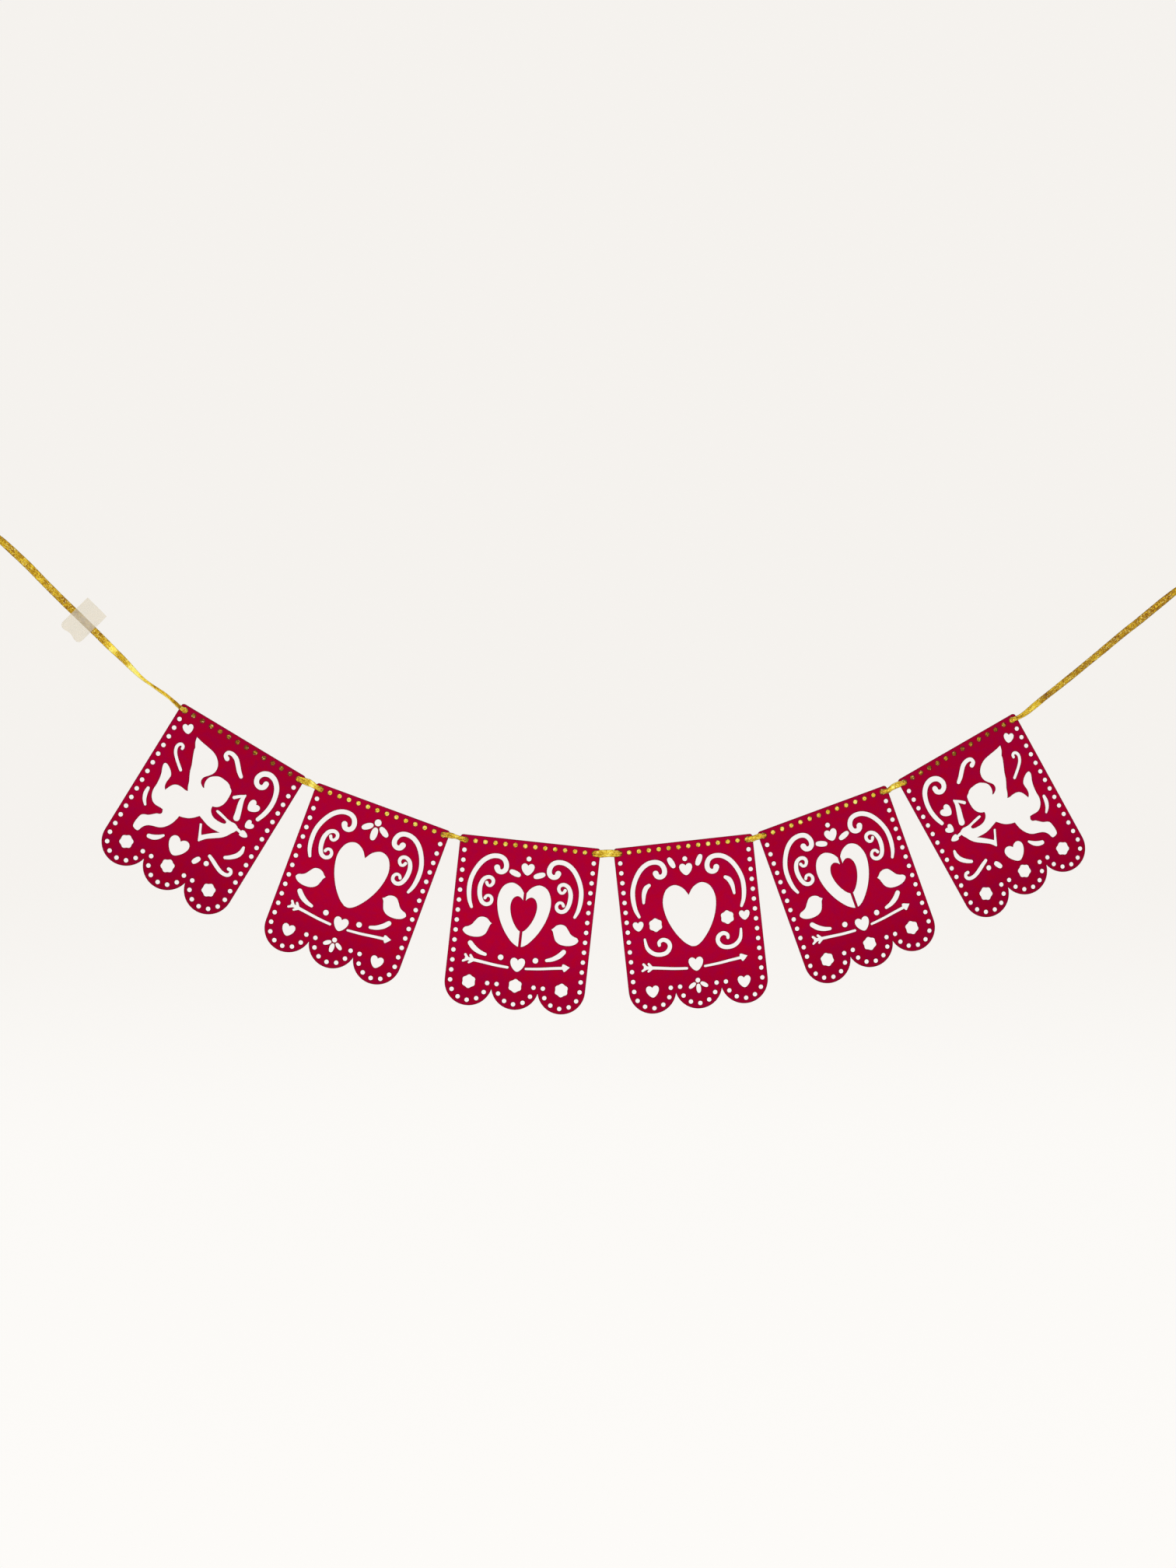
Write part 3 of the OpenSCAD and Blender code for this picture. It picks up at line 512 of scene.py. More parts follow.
def frames(rows):
    """Each station's place, and its directions along the ribbon, across it and to the front"""
    place = np.array([r[X] for r in rows])
    way = np.gradient(place, axis=0)
    way /= np.linalg.norm(way, axis=1)[:, None]
    across = np.array([r[A] for r in rows])
    across -= way * np.sum(across * way, axis=1)[:, None]
    across /= np.linalg.norm(across, axis=1)[:, None]
    return place, way, across, np.cross(way, across)


def make_mesh(name, points, faces, material):
    """A smooth piece of its own, on the part's one body, from points in millimetres"""
    mesh = bpy.data.meshes.new(name)
    mesh.from_pydata([tuple(p) for p in np.asarray(points) * MM], [], faces)
    mesh.validate()
    mesh.materials.append(material)
    for face in mesh.polygons:
        face.use_smooth = True
    piece = bpy.data.objects.new(name, mesh)
    bpy.context.collection.objects.link(piece)
    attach(piece, "root")
    return piece


def strip(rows, run_from=0.0, seed=0.0, slant=0.0):
    """A thin closed strip along the stations, folded across its width by each station's own numbers. Its last
    end may be cut at a slant. Gives its points, faces, places in the ribbon's map and the points' values."""
    place, way, across, front = frames(rows)
    run = distances(rows)
    n = CROSS_STEPS + 1
    points, where = [], []
    marks = {"painted_light": [], "edge": [], "bunched": []}
    for k, row in enumerate(rows):
        at = run_from + run[k]
        wobble = noise.noise(Vector((at * WOBBLE_RATE + seed, 3.1, 0.0)))
        c, q = math.cos(row[TWIST]), math.sin(row[TWIST])
        for side in (1, -1):
            for j in range(n):
                s = -1 + 2 * j / CROSS_STEPS
                wrinkle = noise.noise(Vector((at * WRINKLE_RATES[0], s * WRINKLE_RATES[1], seed)))
                x = s * row[WIDTH] / 2 * (1 + WOBBLE_OF_WIDTH * wobble)
                d = row[FOLD] * math.sin(WAVES * math.pi * (s + 1) + row[PHASE] + WOBBLE_OF_PHASE * wobble)
                d += wrinkle * (WRINKLE_DEPTH + WRINKLE_OF_FOLD * row[FOLD]) - row[CROWN] * s * s
                d += side * VISIBLE_T / 2 * (1 - EDGE_THINNING * abs(s) ** 6)
                point = place[k] + across[k] * (x * c - d * q) + front[k] * (x * q + d * c)
                points.append(point + way[k] * (slant * s * (run[k] / run[-1]) ** 3))
                marks["painted_light"].append(row[PAINTED_LIGHT])
                marks["edge"].append(abs(s))
                marks["bunched"].append(min(1.0, row[FOLD] / FULL_BUNCH))
                v = (s + 1) * RIBBON_W / (2 * MAP_UNIT)
                where.append((at / MAP_UNIT, v + MAP_BACK if side < 0 else v))
    faces = []
    ring = 2 * n
    for k in range(len(rows) - 1):
        a, b = k * ring, (k + 1) * ring
        for j in range(n - 1):
            faces.append((a + j, b + j, b + j + 1, a + j + 1))
            faces.append((a + n + j + 1, b + n + j + 1, b + n + j, a + n + j))
        faces.append((a + n, b + n, b, a))
        faces.append((a + n - 1, b + n - 1, b + 2 * n - 1, a + 2 * n - 1))
    last = (len(rows) - 1) * ring
    for j in range(n - 1):
        faces.append((j + 1, n + j + 1, n + j, j))
        faces.append((last + j, last + n + j, last + n + j + 1, last + j + 1))
    return points, faces, where, marks


def gold_piece(name, *strips):
    """One piece of ribbon, made of one or more strips, with the values that its material reads"""
    points, faces, where = [], [], []
    marks = {"painted_light": [], "edge": [], "bunched": []}
    for strip_points, strip_faces, strip_where, strip_marks in strips:
        first = len(points)
        points += strip_points
        faces += [tuple(first + v for v in face) for face in strip_faces]
        where += strip_where
        for label in marks:
            marks[label] += strip_marks[label]
    piece = make_mesh(name, points, faces, GOLD)
    mesh = piece.data
    for label, values in marks.items():
        layer = mesh.attributes.new(label, "FLOAT", "POINT")
        layer.data.foreach_set("value", np.array(values, dtype=np.float32))
    layer = mesh.uv_layers.new(name="ribbon_map")
    for loop in mesh.loops:
        layer.data[loop.index].uv = where[loop.vertex_index]
    return piece


def joined(table, at):
    """A value read from a short table of (distance, value) pairs"""
    return float(np.interp(at, [p[0] for p in table], [p[1] for p in table]))


# Where the ribbon goes through a corner hole and on behind the card: the distance out from the hole, how
# far behind the card's middle it lies there, its width and the depth of its folds
HOLE_KEYS = [
    (0.4, -0.22, 4.1, 0.26), (-0.3, 0.08, 4.15, 0.26), (-1.0, 0.38, 4.5, 0.26), (-1.8, 0.58, 4.9, 0.24),
    (-2.8, 0.62, 5.2, 0.2), (-4.4, 0.54, 5.5, 0.16), (-8.5, 0.44, 5.9, 0.08),
]
# Painted shade on the ribbon inside the corner holes, and from how far out the painted light of the back
# takes over
IN_HOLE_PAINTED_SHADE = 0.88
BEHIND_FROM = -3.0
# In front of the card's corner: the distance out from the hole, how far before the card's middle, and the
# least width
FRONT_KEYS = [(2.0, 0.8, 3.2), (1.1, 0.56, 3.6)]
FRONT_FOLD = 0.26
# The ribbon's width in front of each panel's left and right hole
FRONT_WIDTHS = [(3.2, 4.1), (3.4, 3.6), (3.6, 4.5), (4.7, 4.0), (3.7, 3.2), (3.5, 3.2)]
# Behind the cards: the ribbon's stations, counted from the card's middle, how far behind the card's
# middle it lies and how much further from this distance on, and its painted light and shade, darker behind
# the end cards and lighter behind the middle ones, with how fast and how much that changes along it
BACK_STATIONS = range(-30, 31, 5)
BACK_DEPTH = 0.43
BACK_SAG = 0.03
SAG_FROM = 20
BACK_FOLD = 0.04
BACK_PAINTED_LIGHT = [0.67, 1.19, 1.21, 1.28, 1.17, 0.79]
BACK_RATES = (0.19, 3.7)
BACK_SPREAD = 0.36


def hole_phase(i, side):
    """The phase of the ribbon's folds at a panel's corner hole"""
    return 0.4 * side + i


def through_hole(i, side):
    """Stations at one corner hole of a panel, from the hole to behind the card"""
    rows = []
    for out, back, width, fold in HOLE_KEYS:
        painted_light = BACK_PAINTED_LIGHT[i] if out < BEHIND_FROM else IN_HOLE_PAINTED_SHADE
        place = on_panel(i, side * (HOLE_SPAN / 2 + out), back)
        rows.append(station(place, upward(i), width, fold, hole_phase(i, side), crown=FLAT_CROWN, painted_light=painted_light))
    return rows


def behind(i):
    """Stations behind a card, from left to right, where the ribbon lies flat"""
    rows = []
    for u in BACK_STATIONS:
        change = noise.noise(Vector((BACK_RATES[0] * u, BACK_RATES[1] * i, 0.6)))
        place = on_panel(i, u, BACK_DEPTH + BACK_SAG * min(1.0, abs(u) / SAG_FROM))
        painted_light = BACK_PAINTED_LIGHT[i] + BACK_SPREAD * change
        phase = 0.8 + 0.02 * u
        rows.append(station(place, upward(i), RIBBON_W, BACK_FOLD, phase, crown=FLAT_CROWN, painted_light=painted_light))
    return rows


def before_corner(i, side, towards, rise, climb=0.0):
    """Stations in front of a panel's corner, on the straight way to its hole"""
    hole = on_panel(i, side * HOLE_SPAN / 2, 0)
    way = unit(towards - hole)
    rows = []
    for out, ahead, least in FRONT_KEYS:
        place = hole + out * way + climb * out * rise
        place[1] = on_panel(i, side * (HOLE_SPAN / 2 + out), -ahead)[1]
        width = max(least, FRONT_WIDTHS[i][0 if side < 0 else 1])
        rows.append(station(place, rise, width, FRONT_FOLD, hole_phase(i, side), crown=FLAT_CROWN))
    return rows


# The ribbon between two panels: at each fraction of the way from hole to hole its width, how far it lies
# above the straight line, the phase of its folds, how far it is twisted in degrees, and its painted light and
# shade
SPAN_LOOKS = [
    [(0.26, 4.9, 0.35, 0.2, 8, 0.96), (0.44, 5.2, 0.7, 0.9, 14, 1.06), (0.6, 4.3, 0.65, 1.8, 10, 1.36),
        (0.76, 3.7, 0.3, 2.6, 4, 1.1)],
    [(0.24, 4.0, 0.5, 0.3, 6, 0.9), (0.38, 4.0, 0.6, 0.9, 22, 0.98), (0.52, 3.6, 0.55, 1.8, 40, 1.12),
        (0.66, 3.5, 0.4, 2.4, 30, 0.98), (0.8, 3.6, 0.1, 2.8, 10, 0.94)],
    [(0.2, 5.5, -0.1, 0.1, 0, 1.0), (0.4, 5.4, 0.1, 0.4, 4, 1.16), (0.6, 5.2, 0.25, 0.7, 5, 1.18),
        (0.8, 5.2, 0.1, 0.9, 2, 1.0)],
    [(0.26, 4.4, -0.3, 0.2, 4, 1.0), (0.42, 4.3, -0.1, 1.2, 12, 1.09), (0.58, 4.3, 0.1, 2.1, 10, 1.07),
        (0.74, 4.3, 0.25, 2.8, 0, 1.08)],
    [(0.2, 3.9, -0.7, 0.2, 6, 0.97), (0.36, 4.2, -0.1, 0.6, 16, 1.06), (0.5, 4.6, 0.35, 1.2, 12, 1.22),
        (0.66, 4.6, 0.5, 1.8, 8, 1.12), (0.8, 4.2, 0.35, 2.2, 2, 0.98)],
]
# How far before the holes' line the ribbon runs between panels, and how far before the card's middle it
# stays while it is this close to the corner hole
SPAN_FRONT = 1.02
CARD_FRONT = 0.92
CORNER_REACH = 5.5
# The depth of its folds at full width, and how much deeper they are for each millimetre that it is
# narrower
SPAN_FOLD = 0.16
FOLD_PER_MM = 0.14


def before_card(place, i):
    """The place, brought forward where it lies behind or in a panel's corner"""
    u = float(np.dot(place - panel_middle[i], along(i)))
    if abs(u) < HOLE_SPAN / 2 + CORNER_REACH:
        place[1] = min(place[1], on_panel(i, u, -CARD_FRONT)[1])
    return place


def between(i):
    """Stations from one panel's right hole to the next panel's left hole"""
    a = on_panel(i, HOLE_SPAN / 2, 0)
    b = on_panel(i + 1, -HOLE_SPAN / 2, 0)
    gap = np.linalg.norm(b - a)
    rise = unit(np.cross(b - a, TO_BACK))
    first, last = SPAN_LOOKS[i][0], SPAN_LOOKS[i][-1]
    rows = before_corner(i, 1, b, rise, first[2] / (first[0] * gap))[::-1]
    for f, width, lift, phase, twist, painted_light in SPAN_LOOKS[i]:
        place = a + (b - a) * f + lift * rise - SPAN_FRONT * TO_BACK
        place = before_card(before_card(place, i), i + 1)
        fold = SPAN_FOLD + FOLD_PER_MM * (RIBBON_W - width)
        rows.append(station(place, rise, width, fold, phase + i, math.radians(twist), FLAT_CROWN, painted_light))
    return rows + before_corner(i + 1, -1, a, rise, last[2] / ((1 - last[0]) * gap))


# The free ribbons, by the distance from the left knot and from the last hole: their widths, how far they
# lie to the upper side of their route, the depth of their folds, their twist in degrees, and their painted
# light and shade, with painted glints where they turn towards the lamps
LEFT_WIDTHS = [
    (0, 3.0), (5, 4.1), (12, 5.1), (22, 5.35), (60, 5.2), (78, 5.25), (104, 5.1), (114, 5.0), (120, 4.65),
    (126, 4.35), (132, 4.0), (138, 3.35), (144, 2.55), (150, 2.15), (156, 2.35), (162, 2.3), (168, 2.65),
    (174, 2.75), (180, 2.85), (184, 3.0),
]
LEFT_SHIFTS = [
    (0, 0), (36, 0.15), (48, -0.1), (60, -0.2), (72, 0), (84, 0.2), (102, 0.1), (138, -0.05), (144, -0.22),
    (156, -0.15), (164, 0.05), (184, 0),
]
LEFT_FOLDS = [
    (0, 0.5), (5, 0.35), (12, 0.12), (22, 0.06), (112, 0.07), (125, 0.16), (138, 0.3), (148, 0.6), (184, 0.6),
]
LEFT_TWISTS = [
    (0, 0), (20, 6), (48, -5), (76, 0), (104, 0), (114, -9), (121, 4), (132, -10), (140, -16), (147, -6),
    (156, 12), (163, -10), (170, 12), (177, -8), (182, 0),
]
LEFT_PAINTED_LIGHT = [
    (0, 0.92), (35, 0.97), (52, 0.96), (60, 0.97), (66, 0.9), (74, 0.82), (84, 0.9), (98, 0.92), (110, 0.93),
    (114, 1.04), (117.5, 1.38), (120, 1.22), (123, 0.95), (127, 1.02), (132, 1.06), (136, 1.36), (139, 1.62),
    (143, 1.5), (148, 1.2), (153, 1.3), (158, 1.05), (162, 1.12), (170, 1.2), (175, 1.0), (181, 0.95),
    (184, 0.78),
]
RIGHT_WIDTHS = [
    (0, 3.45), (4.5, 3.2), (9, 3.6), (14, 4.3), (21, 4.65), (40, 4.7), (60, 4.9), (75, 4.95), (84, 5.1),
    (104, 5.2), (116, 5.3), (125, 5.4), (140, 5.5), (152, 5.0), (158, 4.0), (163, 3.0),
]
RIGHT_SHIFTS = [
    (0, 0), (5, -0.6), (14, -0.52), (28, -0.4), (44, -0.5), (66, -0.38), (90, -0.5), (116, -0.4), (150, 0),
]
RIGHT_FOLDS = [(0, 0.4), (6, 0.5), (14, 0.25), (30, 0.14), (48, 0.08), (140, 0.06), (156, 0.3), (163, 0.5)]
RIGHT_TWISTS = [
    (0, 0), (6, 6), (20, 8), (30, 16), (38, 13), (54, 7), (63, 15), (72, 12), (84, 6), (94, 9), (106, 4),
    (130, 2), (163, 0),
]
RIGHT_PAINTED_LIGHT = [
    (0, 0.78), (4, 0.98), (10, 1.02), (18, 1.04), (23, 1.0), (27, 0.8), (31, 0.72), (36, 0.88), (42, 0.94),
    (50, 0.9), (56, 0.88), (62, 0.75), (67, 0.82), (74, 0.86), (80, 0.82), (90, 0.87), (94.5, 0.74),
    (99, 0.83), (112, 0.85), (121, 0.78), (127, 0.78), (163, 0.85),
]
PHASE_RATE = 0.03
# Where the free ribbons meet the laced one: out from the corner hole, before the card's middle, and the
# width there
JOINT_OUT = 3.5
JOINT_FRONT = 0.75
JOINT_WIDTH = 3.2
# The directions across the free ribbons, and the lengths of the ribbon's facets
LEFT_ACROSS = arr(1, 0, 1)
RIGHT_ACROSS = arr(-0.6, 0, 0.8)
FREE_STEP = 1.2
LACED_STEP = 0.9
LACED_MOST = 14

last = PANELS[-1]
joint_left = station(on_panel(0, -(HOLE_SPAN / 2 + JOINT_OUT), -JOINT_FRONT), upward(0), JOINT_WIDTH)
joint_right = station(on_panel(last, HOLE_SPAN / 2 + JOINT_OUT, -JOINT_FRONT), upward(last), JOINT_WIDTH)
left_keys = [station(p, LEFT_ACROSS, RIBBON_W) for p in left_route] + [joint_left]
right_keys = [joint_right] + [station(p, RIGHT_ACROSS, RIBBON_W) for p in right_route]
woven_keys = [joint_left] + before_corner(0, -1, joint_left[X], upward(0))
for i in PANELS:
    woven_keys += through_hole(i, -1) + behind(i) + through_hole(i, 1)[::-1]
    if i in GAPS:
        woven_keys += between(i)
woven_keys += before_corner(last, 1, joint_right[X], upward(last))[::-1] + [joint_right]


def dressed(rows, widths, folds, twists, painted_lights, shifts, start=0.0):
    """Gives a free stretch its widths, folds, twists, painted light and shade, and shifts by the distance
    along it
    """
    run = distances(rows) + start
    out = []
    for row, at in zip(rows, run):
        row = row.copy()
        row[WIDTH] = joined(widths, at)
        row[FOLD] = joined(folds, at)
        row[TWIST] = math.radians(joined(twists, at))
        row[PAINTED_LIGHT] = joined(painted_lights, at)
        row[X] += joined(shifts, at) * row[A]
        row[PHASE] = PHASE_RATE * at
        out.append(row)
    return out


left_look = (LEFT_WIDTHS, LEFT_FOLDS, LEFT_TWISTS, LEFT_PAINTED_LIGHT, LEFT_SHIFTS)
right_look = (RIGHT_WIDTHS, RIGHT_FOLDS, RIGHT_TWISTS, RIGHT_PAINTED_LIGHT, RIGHT_SHIFTS)
left_rows = dressed(smooth_run(left_keys, FREE_STEP), *left_look)
right_rows = dressed(smooth_run(right_keys, FREE_STEP), *right_look, JOINT_OUT)
for end, rows in ((0, left_rows[-1]), (-1, right_rows[0])):
    joint = rows.copy()
    joint[TWIST] = 0.0
    woven_keys[end] = joint
woven_rows = smooth_run(woven_keys, LACED_STEP, LACED_MOST)

left_run = distances(left_rows)[-1]
right_start = left_run + distances(woven_rows)[-1]
tail_left = gold_piece("free_ribbon_left", strip(left_rows))
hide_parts("ribbon_tail_left")
tail_right = gold_piece("free_ribbon_right", strip(right_rows, right_start))
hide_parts("ribbon_tail_right")


# The knots and hanging loops at both ends

# One half of a hanging loop, from the knot to the loop's far end: how far out and aside, the width and
# the depth of the folds
LOOP_KEYS = [
    (KNOT_L / 2, 0.8, 3.2, 0.45), (KNOT_L + 1, 0.3 * LOOP_W, 4.0, 0.3),
    (KNOT_L / 2 + 0.55 * LOOP_L, 0.5 * LOOP_W, 5.4, 0.12),
    (KNOT_L / 2 + 0.9 * LOOP_L, 0.34 * LOOP_W, 5.9, 0.05), (KNOT_L + LOOP_L, 0, 6.0, 0.03),
]
LOOP_STEP = 0.8
LOOP_CROWN = 0.03
LOOP_MAP = 3.0
LOOP_SEED = 7.0
# The turns of ribbon round a knot: how far out from its middle, how much the axis points out, aside and
# back, its radius, its width, the angle where it starts, its painted light and shade, and where its stretch
# of the ribbon's map starts
KNOT_TURNS = [
    (-0.5, (1, 0.42, 0), 2.45, 3.5, 200, 0.92, 40),
    (0.75, (1, -0.4, 0.2), 2.35, 3.3, 20, 0.98, 80),
    (0, (0.75, 0.1, 0.7), 2.3, 3.0, 100, 1.05, 120),
]
TURN_STEPS = 36
# How far a turn's ends are tucked in, and how much its radius and its width change round it
TURN_TUCK = 0.45
TURN_UNEVEN = 0.05
TURN_NARROWS = 0.12
TURN_FOLD = 0.17
TURN_CROWN = 0.4
# The ribbon's cut end, from the knot's middle: its place to the hanging side, back and up, how much the
# direction across points back, its width, fold, phase, twist, crown and painted light and shade
CUT_END = [
    (0, 0.4, 0, 0, 3.0, 0.4, 0.0, 0.0, 0.1, 0.95),
    (0.25, 1.3, -3.0, 0, 3.3, 0.35, 0.4, 0.1, 0.1, 0.98),
    (0.6, 1.5, -6.0, 0.1, 4.6, 0.18, 0.8, 0.3, 0.2, 1.02),
    (1.3, 1.1, -10.5, 0.25, 5.6, 0.08, 1.0, 0.5, 0.3, 1.05),
    (2.2, 0.2, -14.5, 0.4, 5.8, 0.05, 1.0, 0.6, 0.3, 1.0),
]
CUT_STEP = 0.7
CUT_SLANT = 1.6
CUT_MAP = 160
CUT_SEED = 4.0


def ring_rows(middle, axis, radius, width, start, painted_light):
    """Stations round an axis, for a turn of ribbon that lies round the knot"""
    axis = unit(axis)
    first = unit(np.cross(axis, arr(0.2, 1, 0.1)))
    second = np.cross(axis, first)
    rows = []
    for k in range(TURN_STEPS + 1):
        a = math.radians(start + 360 * k / TURN_STEPS)
        tuck = TURN_TUCK * (abs(2 * k / TURN_STEPS - 1) ** 6)
        reach = (radius - tuck) * (1 + TURN_UNEVEN * math.sin(3 * a + start))
        place = middle + reach * (math.cos(a) * first + math.sin(a) * second)
        across = width * (1 - TURN_NARROWS * math.sin(2 * a))
        rows.append(station(place, axis, across, TURN_FOLD, 2.0 * a, crown=TURN_CROWN, painted_light=painted_light))
    return rows


def knot_and_loop(side_name, place, angle, hang):
    """An overhand knot with a loop beyond it and the ribbon's cut end beside it, hanging to one side"""
    out = slope(angle)
    aside = slope(angle + 90)
    middle = place + KNOT_L / 2 * out
    loop_rows = []
    for keys, way, phase in ((LOOP_KEYS, aside, 0.5), (LOOP_KEYS[-2::-1], -aside, 1.5)):
        for x, z, width, fold in keys:
            at = place + x * out + z * way
            loop_rows.append(station(at, TO_BACK, width, fold, phase, crown=LOOP_CROWN))
    loop = gold_piece("loop_" + side_name, strip(smooth_run(loop_rows, LOOP_STEP), LOOP_MAP, LOOP_SEED))
    turns = []
    for k, (further, axis, radius, width, start, painted_light, map_start) in enumerate(KNOT_TURNS):
        axis = axis[0] * out + axis[1] * aside + axis[2] * TO_BACK
        rows = ring_rows(middle + further * out, axis, radius, width, start, painted_light)
        turns.append(strip(rows, map_start, k + 1.0))
    end_keys = []
    for x, y, z, back, *look in CUT_END:
        end_keys.append(station(middle + arr(x * hang, y, z), arr(1, back, 0), *look))
    turns.append(strip(smooth_run(end_keys, CUT_STEP), CUT_MAP, CUT_SEED, CUT_SLANT))
    knot = gold_piece("knot_" + side_name, *turns)
    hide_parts("ribbon_loop_" + side_name)
    return [knot, loop]


left_end = knot_and_loop("left", left_knot, LEFT_END_ANGLE, -1.0)
right_end = knot_and_loop("right", right_route[-1], RIGHT_END_ANGLE, 1.0)
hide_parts("ribbon_loop_left")
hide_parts("ribbon_loop_right")


# The strip of tape over the left free ribbon: flat on the wall at both ends, raised over the ribbon

TAPE_L = 27.4
TAPE_W = 18.6
TAPE_T = 0.12
TAPE_R = 3.2
TAPE_CELLS = (72, 46)
# The stretch from the middle line in which the tape comes down from the ribbon
TAPE_RAMP = (3.4, 4.6)
# The depth of the bite in its worn end, how ragged both ends are, the height of its puckers and how fast
# they change, and how far, from where and over what way its one corner lifts
BITE = 1.0
LOW_RAGGED = 0.12
HIGH_RAGGED = 0.08
PUCKER = 0.09
PUCKER_RATES = (0.35, 0.5)
CORNER_LIFT = 0.5
CORNER_FROM = (9.0, 4.0)
CORNER_OVER = (4.7, 5.3)


def tape_low_end(b):
    """The worn end: round corners and a shallow bite between them"""
    half = TAPE_W / 2
    over = max(0.0, abs(b) - (half - TAPE_R))
    rounded = -TAPE_L / 2 + TAPE_R - math.sqrt(max(0.0, TAPE_R**2 - over**2))
    bite = -TAPE_L / 2 - half + math.sqrt((half + BITE) ** 2 - b * b)
    return max(rounded, bite) + LOW_RAGGED * noise.noise(Vector((b * 0.8, 5.0, 0.0)))


def tape_height(a, b):
    """How far the tape is raised from flat: over the ribbon, in puckers and at its lifted corner"""
    f = min(1.0, max(0.0, (TAPE_RAMP[1] - abs(a)) / (TAPE_RAMP[1] - TAPE_RAMP[0])))
    ridge = (RIBBON_T + 2 * TAPE_GAP) * f * f * (3 - 2 * f)
    pucker = PUCKER * max(0.0, noise.noise(Vector((a * PUCKER_RATES[0], b * PUCKER_RATES[1], 2.0)))) * (1 - f)
    near_end = max(0.0, (a - CORNER_FROM[0]) / CORNER_OVER[0]) ** 2
    near_side = max(0.0, (b - CORNER_FROM[1]) / CORNER_OVER[1]) ** 2
    return ridge + pucker + CORNER_LIFT * near_end * near_side


def tape_piece(name):
    """The tape as one closed sheet, with its back first"""
    spot = left_route[TAPE_STEP] + (RIBBON_T / 2 + TAPE_GAP) * TO_BACK
    length_way, width_way = slope(TAPE_ANGLE), slope(TAPE_ANGLE - 90)
    cells_a, cells_b = TAPE_CELLS
    points = []
    for top in (0, 1):
        for jb in range(cells_b + 1):
            b = TAPE_W * (jb / cells_b - 0.5)
            low = tape_low_end(b)
            high = TAPE_L / 2 + HIGH_RAGGED * noise.noise(Vector((b * 0.9, 1.0, 0.0)))
            for ja in range(cells_a + 1):
                a = low + (high - low) * ja / cells_a
                height = tape_height(a, b) + top * TAPE_T
                points.append(spot + a * length_way + b * width_way - height * TO_BACK)
    faces = []
    row = cells_a + 1
    layer = row * (cells_b + 1)
    for jb in range(cells_b):
        for ja in range(cells_a):
            k = jb * row + ja
            faces.append((k, k + row, k + row + 1, k + 1))
            faces.append((layer + k, layer + k + 1, layer + k + row + 1, layer + k + row))
    rim = list(range(row))
    rim += [jb * row + cells_a for jb in range(1, cells_b + 1)]
    rim += [cells_b * row + ja for ja in range(cells_a - 1, -1, -1)]
    rim += [jb * row for jb in range(cells_b - 1, 0, -1)]
    for k, a in enumerate(rim):
        b = rim[(k + 1) % len(rim)]
        faces.append((a, b, layer + b, layer + a))
    piece = make_mesh(name, points, faces, TAPE)
    return piece


tape = tape_piece("tape")
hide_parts("tape_strip")

woven = gold_piece("woven_ribbon", strip(woven_rows, left_run))
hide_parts("ribbon_woven")

# The cards keep their solids: each gets its own dyed card, with painted light making the cards a little
# lighter in the middle of the row and painted shade towards its ends
CARD_PAINTED_BRIGHTNESS = [0.895, 1.01, 1.045, 1.03, 0.93, 0.88]
for i, name in enumerate(PANEL_NODES):
    card = crimson_card("card_" + name[:7], CARD_PAINTED_BRIGHTNESS[i], panel_middle[i] * MM, upward(i))
    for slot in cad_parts[name].material_slots:
        slot.material = card


# Light, a pale surround and a pale floor well below the row

def area_light(name, place, target, size, watts, colour):
    """A soft square lamp at a place, turned to its target, both in metres"""
    data = bpy.data.lights.new(name, "AREA")
    data.shape = "SQUARE"
    data.size = size
    data.energy = watts
    data.color = colour
    lamp = bpy.data.objects.new(name, data)
    lamp.location = place
    lamp.rotation_euler = (Vector(target) - Vector(place)).to_track_quat("-Z", "Y").to_euler()
    bpy.context.collection.objects.link(lamp)


area_light(
    "key_light", place=(-0.25, -0.95, 0.75), target=(0.42, 0.0, -0.2), size=0.7, watts=3.2,
    colour=(1.0, 0.97, 0.92),
)
area_light(
    "right_light", place=(1.35, -0.9, 0.35), target=(0.5, 0.0, -0.2), size=0.5, watts=1.0,
    colour=(1.0, 0.98, 0.95),
)

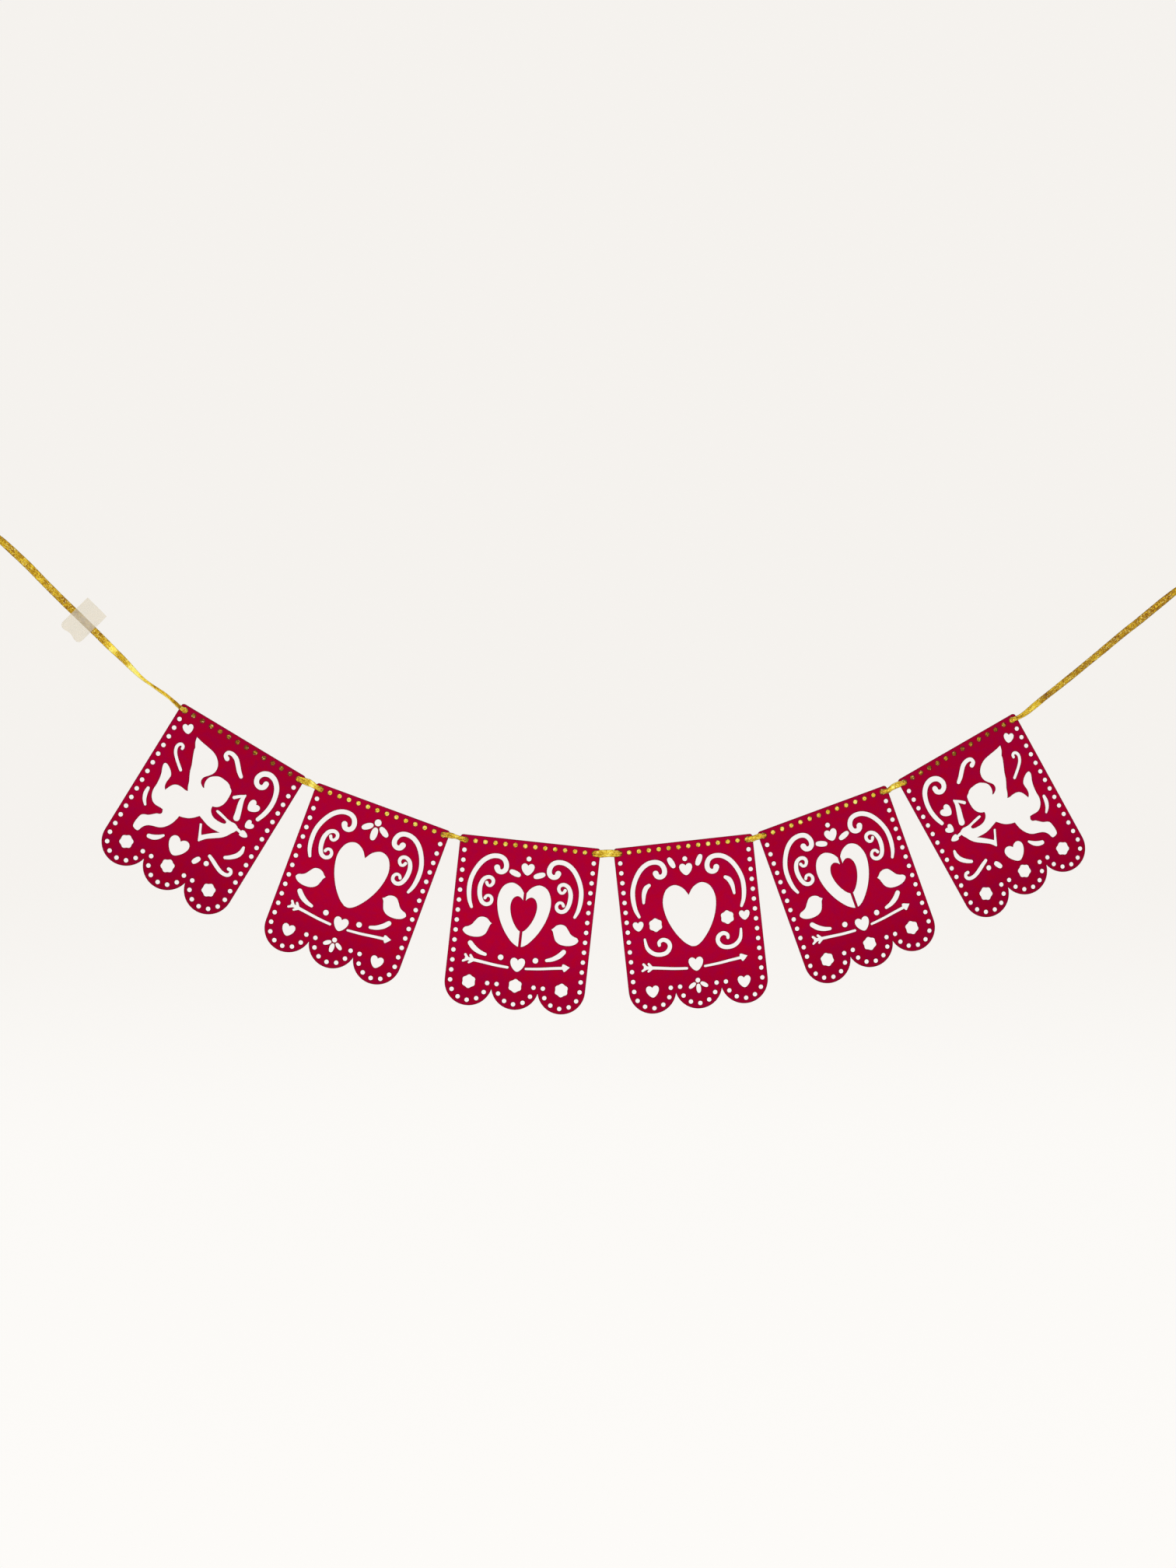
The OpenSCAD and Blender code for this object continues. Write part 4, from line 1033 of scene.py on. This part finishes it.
# The surround's colours, and the two rises of the view, below level, from which and to which they change
SURROUND_RISE = (-0.4, -0.03)
SURROUND = [
    (0.0, rgb(0.984, 0.966, 0.940)), (0.54, rgb(0.970, 0.953, 0.927)), (1.0, rgb(0.914, 0.889, 0.856)),
]

world = bpy.data.worlds.new("surround")
bpy.context.scene.world = world
world.use_nodes = True
tree = world.node_tree
tree.nodes.clear()
direction = tree.nodes.new("ShaderNodeTexCoord")
parts = tree.nodes.new("ShaderNodeSeparateXYZ")
fade = tree.nodes.new("ShaderNodeMapRange")
fade.inputs["From Min"].default_value = SURROUND_RISE[0]
fade.inputs["From Max"].default_value = SURROUND_RISE[1]
tint = tree.nodes.new("ShaderNodeValToRGB")
tint.color_ramp.interpolation = "EASE"
fill_ramp(tint.color_ramp, SURROUND)
surround = tree.nodes.new("ShaderNodeBackground")
surface = tree.nodes.new("ShaderNodeOutputWorld")
tree.links.new(direction.outputs["Generated"], parts.inputs[0])
tree.links.new(parts.outputs[2], fade.inputs["Value"])
tree.links.new(fade.outputs[0], tint.inputs[0])
tree.links.new(tint.outputs[0], surround.inputs["Color"])
tree.links.new(surround.outputs[0], surface.inputs[0])
bpy.context.scene.view_settings.view_transform = "Standard"

# The floor's middle, height and half side in metres, its two shades, and their patches per metre
FLOOR_X = 0.43
FLOOR_Z = -1.35
FLOOR_HALF = 1.15
FLOOR_DARK = rgb(0.86, 0.84, 0.80)
FLOOR_LIGHT = rgb(0.90, 0.88, 0.85)
FLOOR_PATCHES = 3.0
floor_mesh = bpy.data.meshes.new("floor")
corners = [(-1, -1), (1, -1), (1, 1), (-1, 1)]
floor_points = [(FLOOR_X + FLOOR_HALF * x, FLOOR_HALF * y, FLOOR_Z) for x, y in corners]
floor_mesh.from_pydata(floor_points, [], [(0, 1, 2, 3)])
floor = bpy.data.objects.new("floor", floor_mesh)
bpy.context.collection.objects.link(floor)
floor_tree = Tree("pale_floor")
floor_tint = floor_tree.noise(floor_tree.place(), FLOOR_PATCHES, 3.0)
floor_tree.set(Base_Color=floor_tree.mix(floor_tint, FLOOR_DARK, FLOOR_LIGHT), Roughness=0.9)
floor_mesh.materials.append(floor_tree.material)
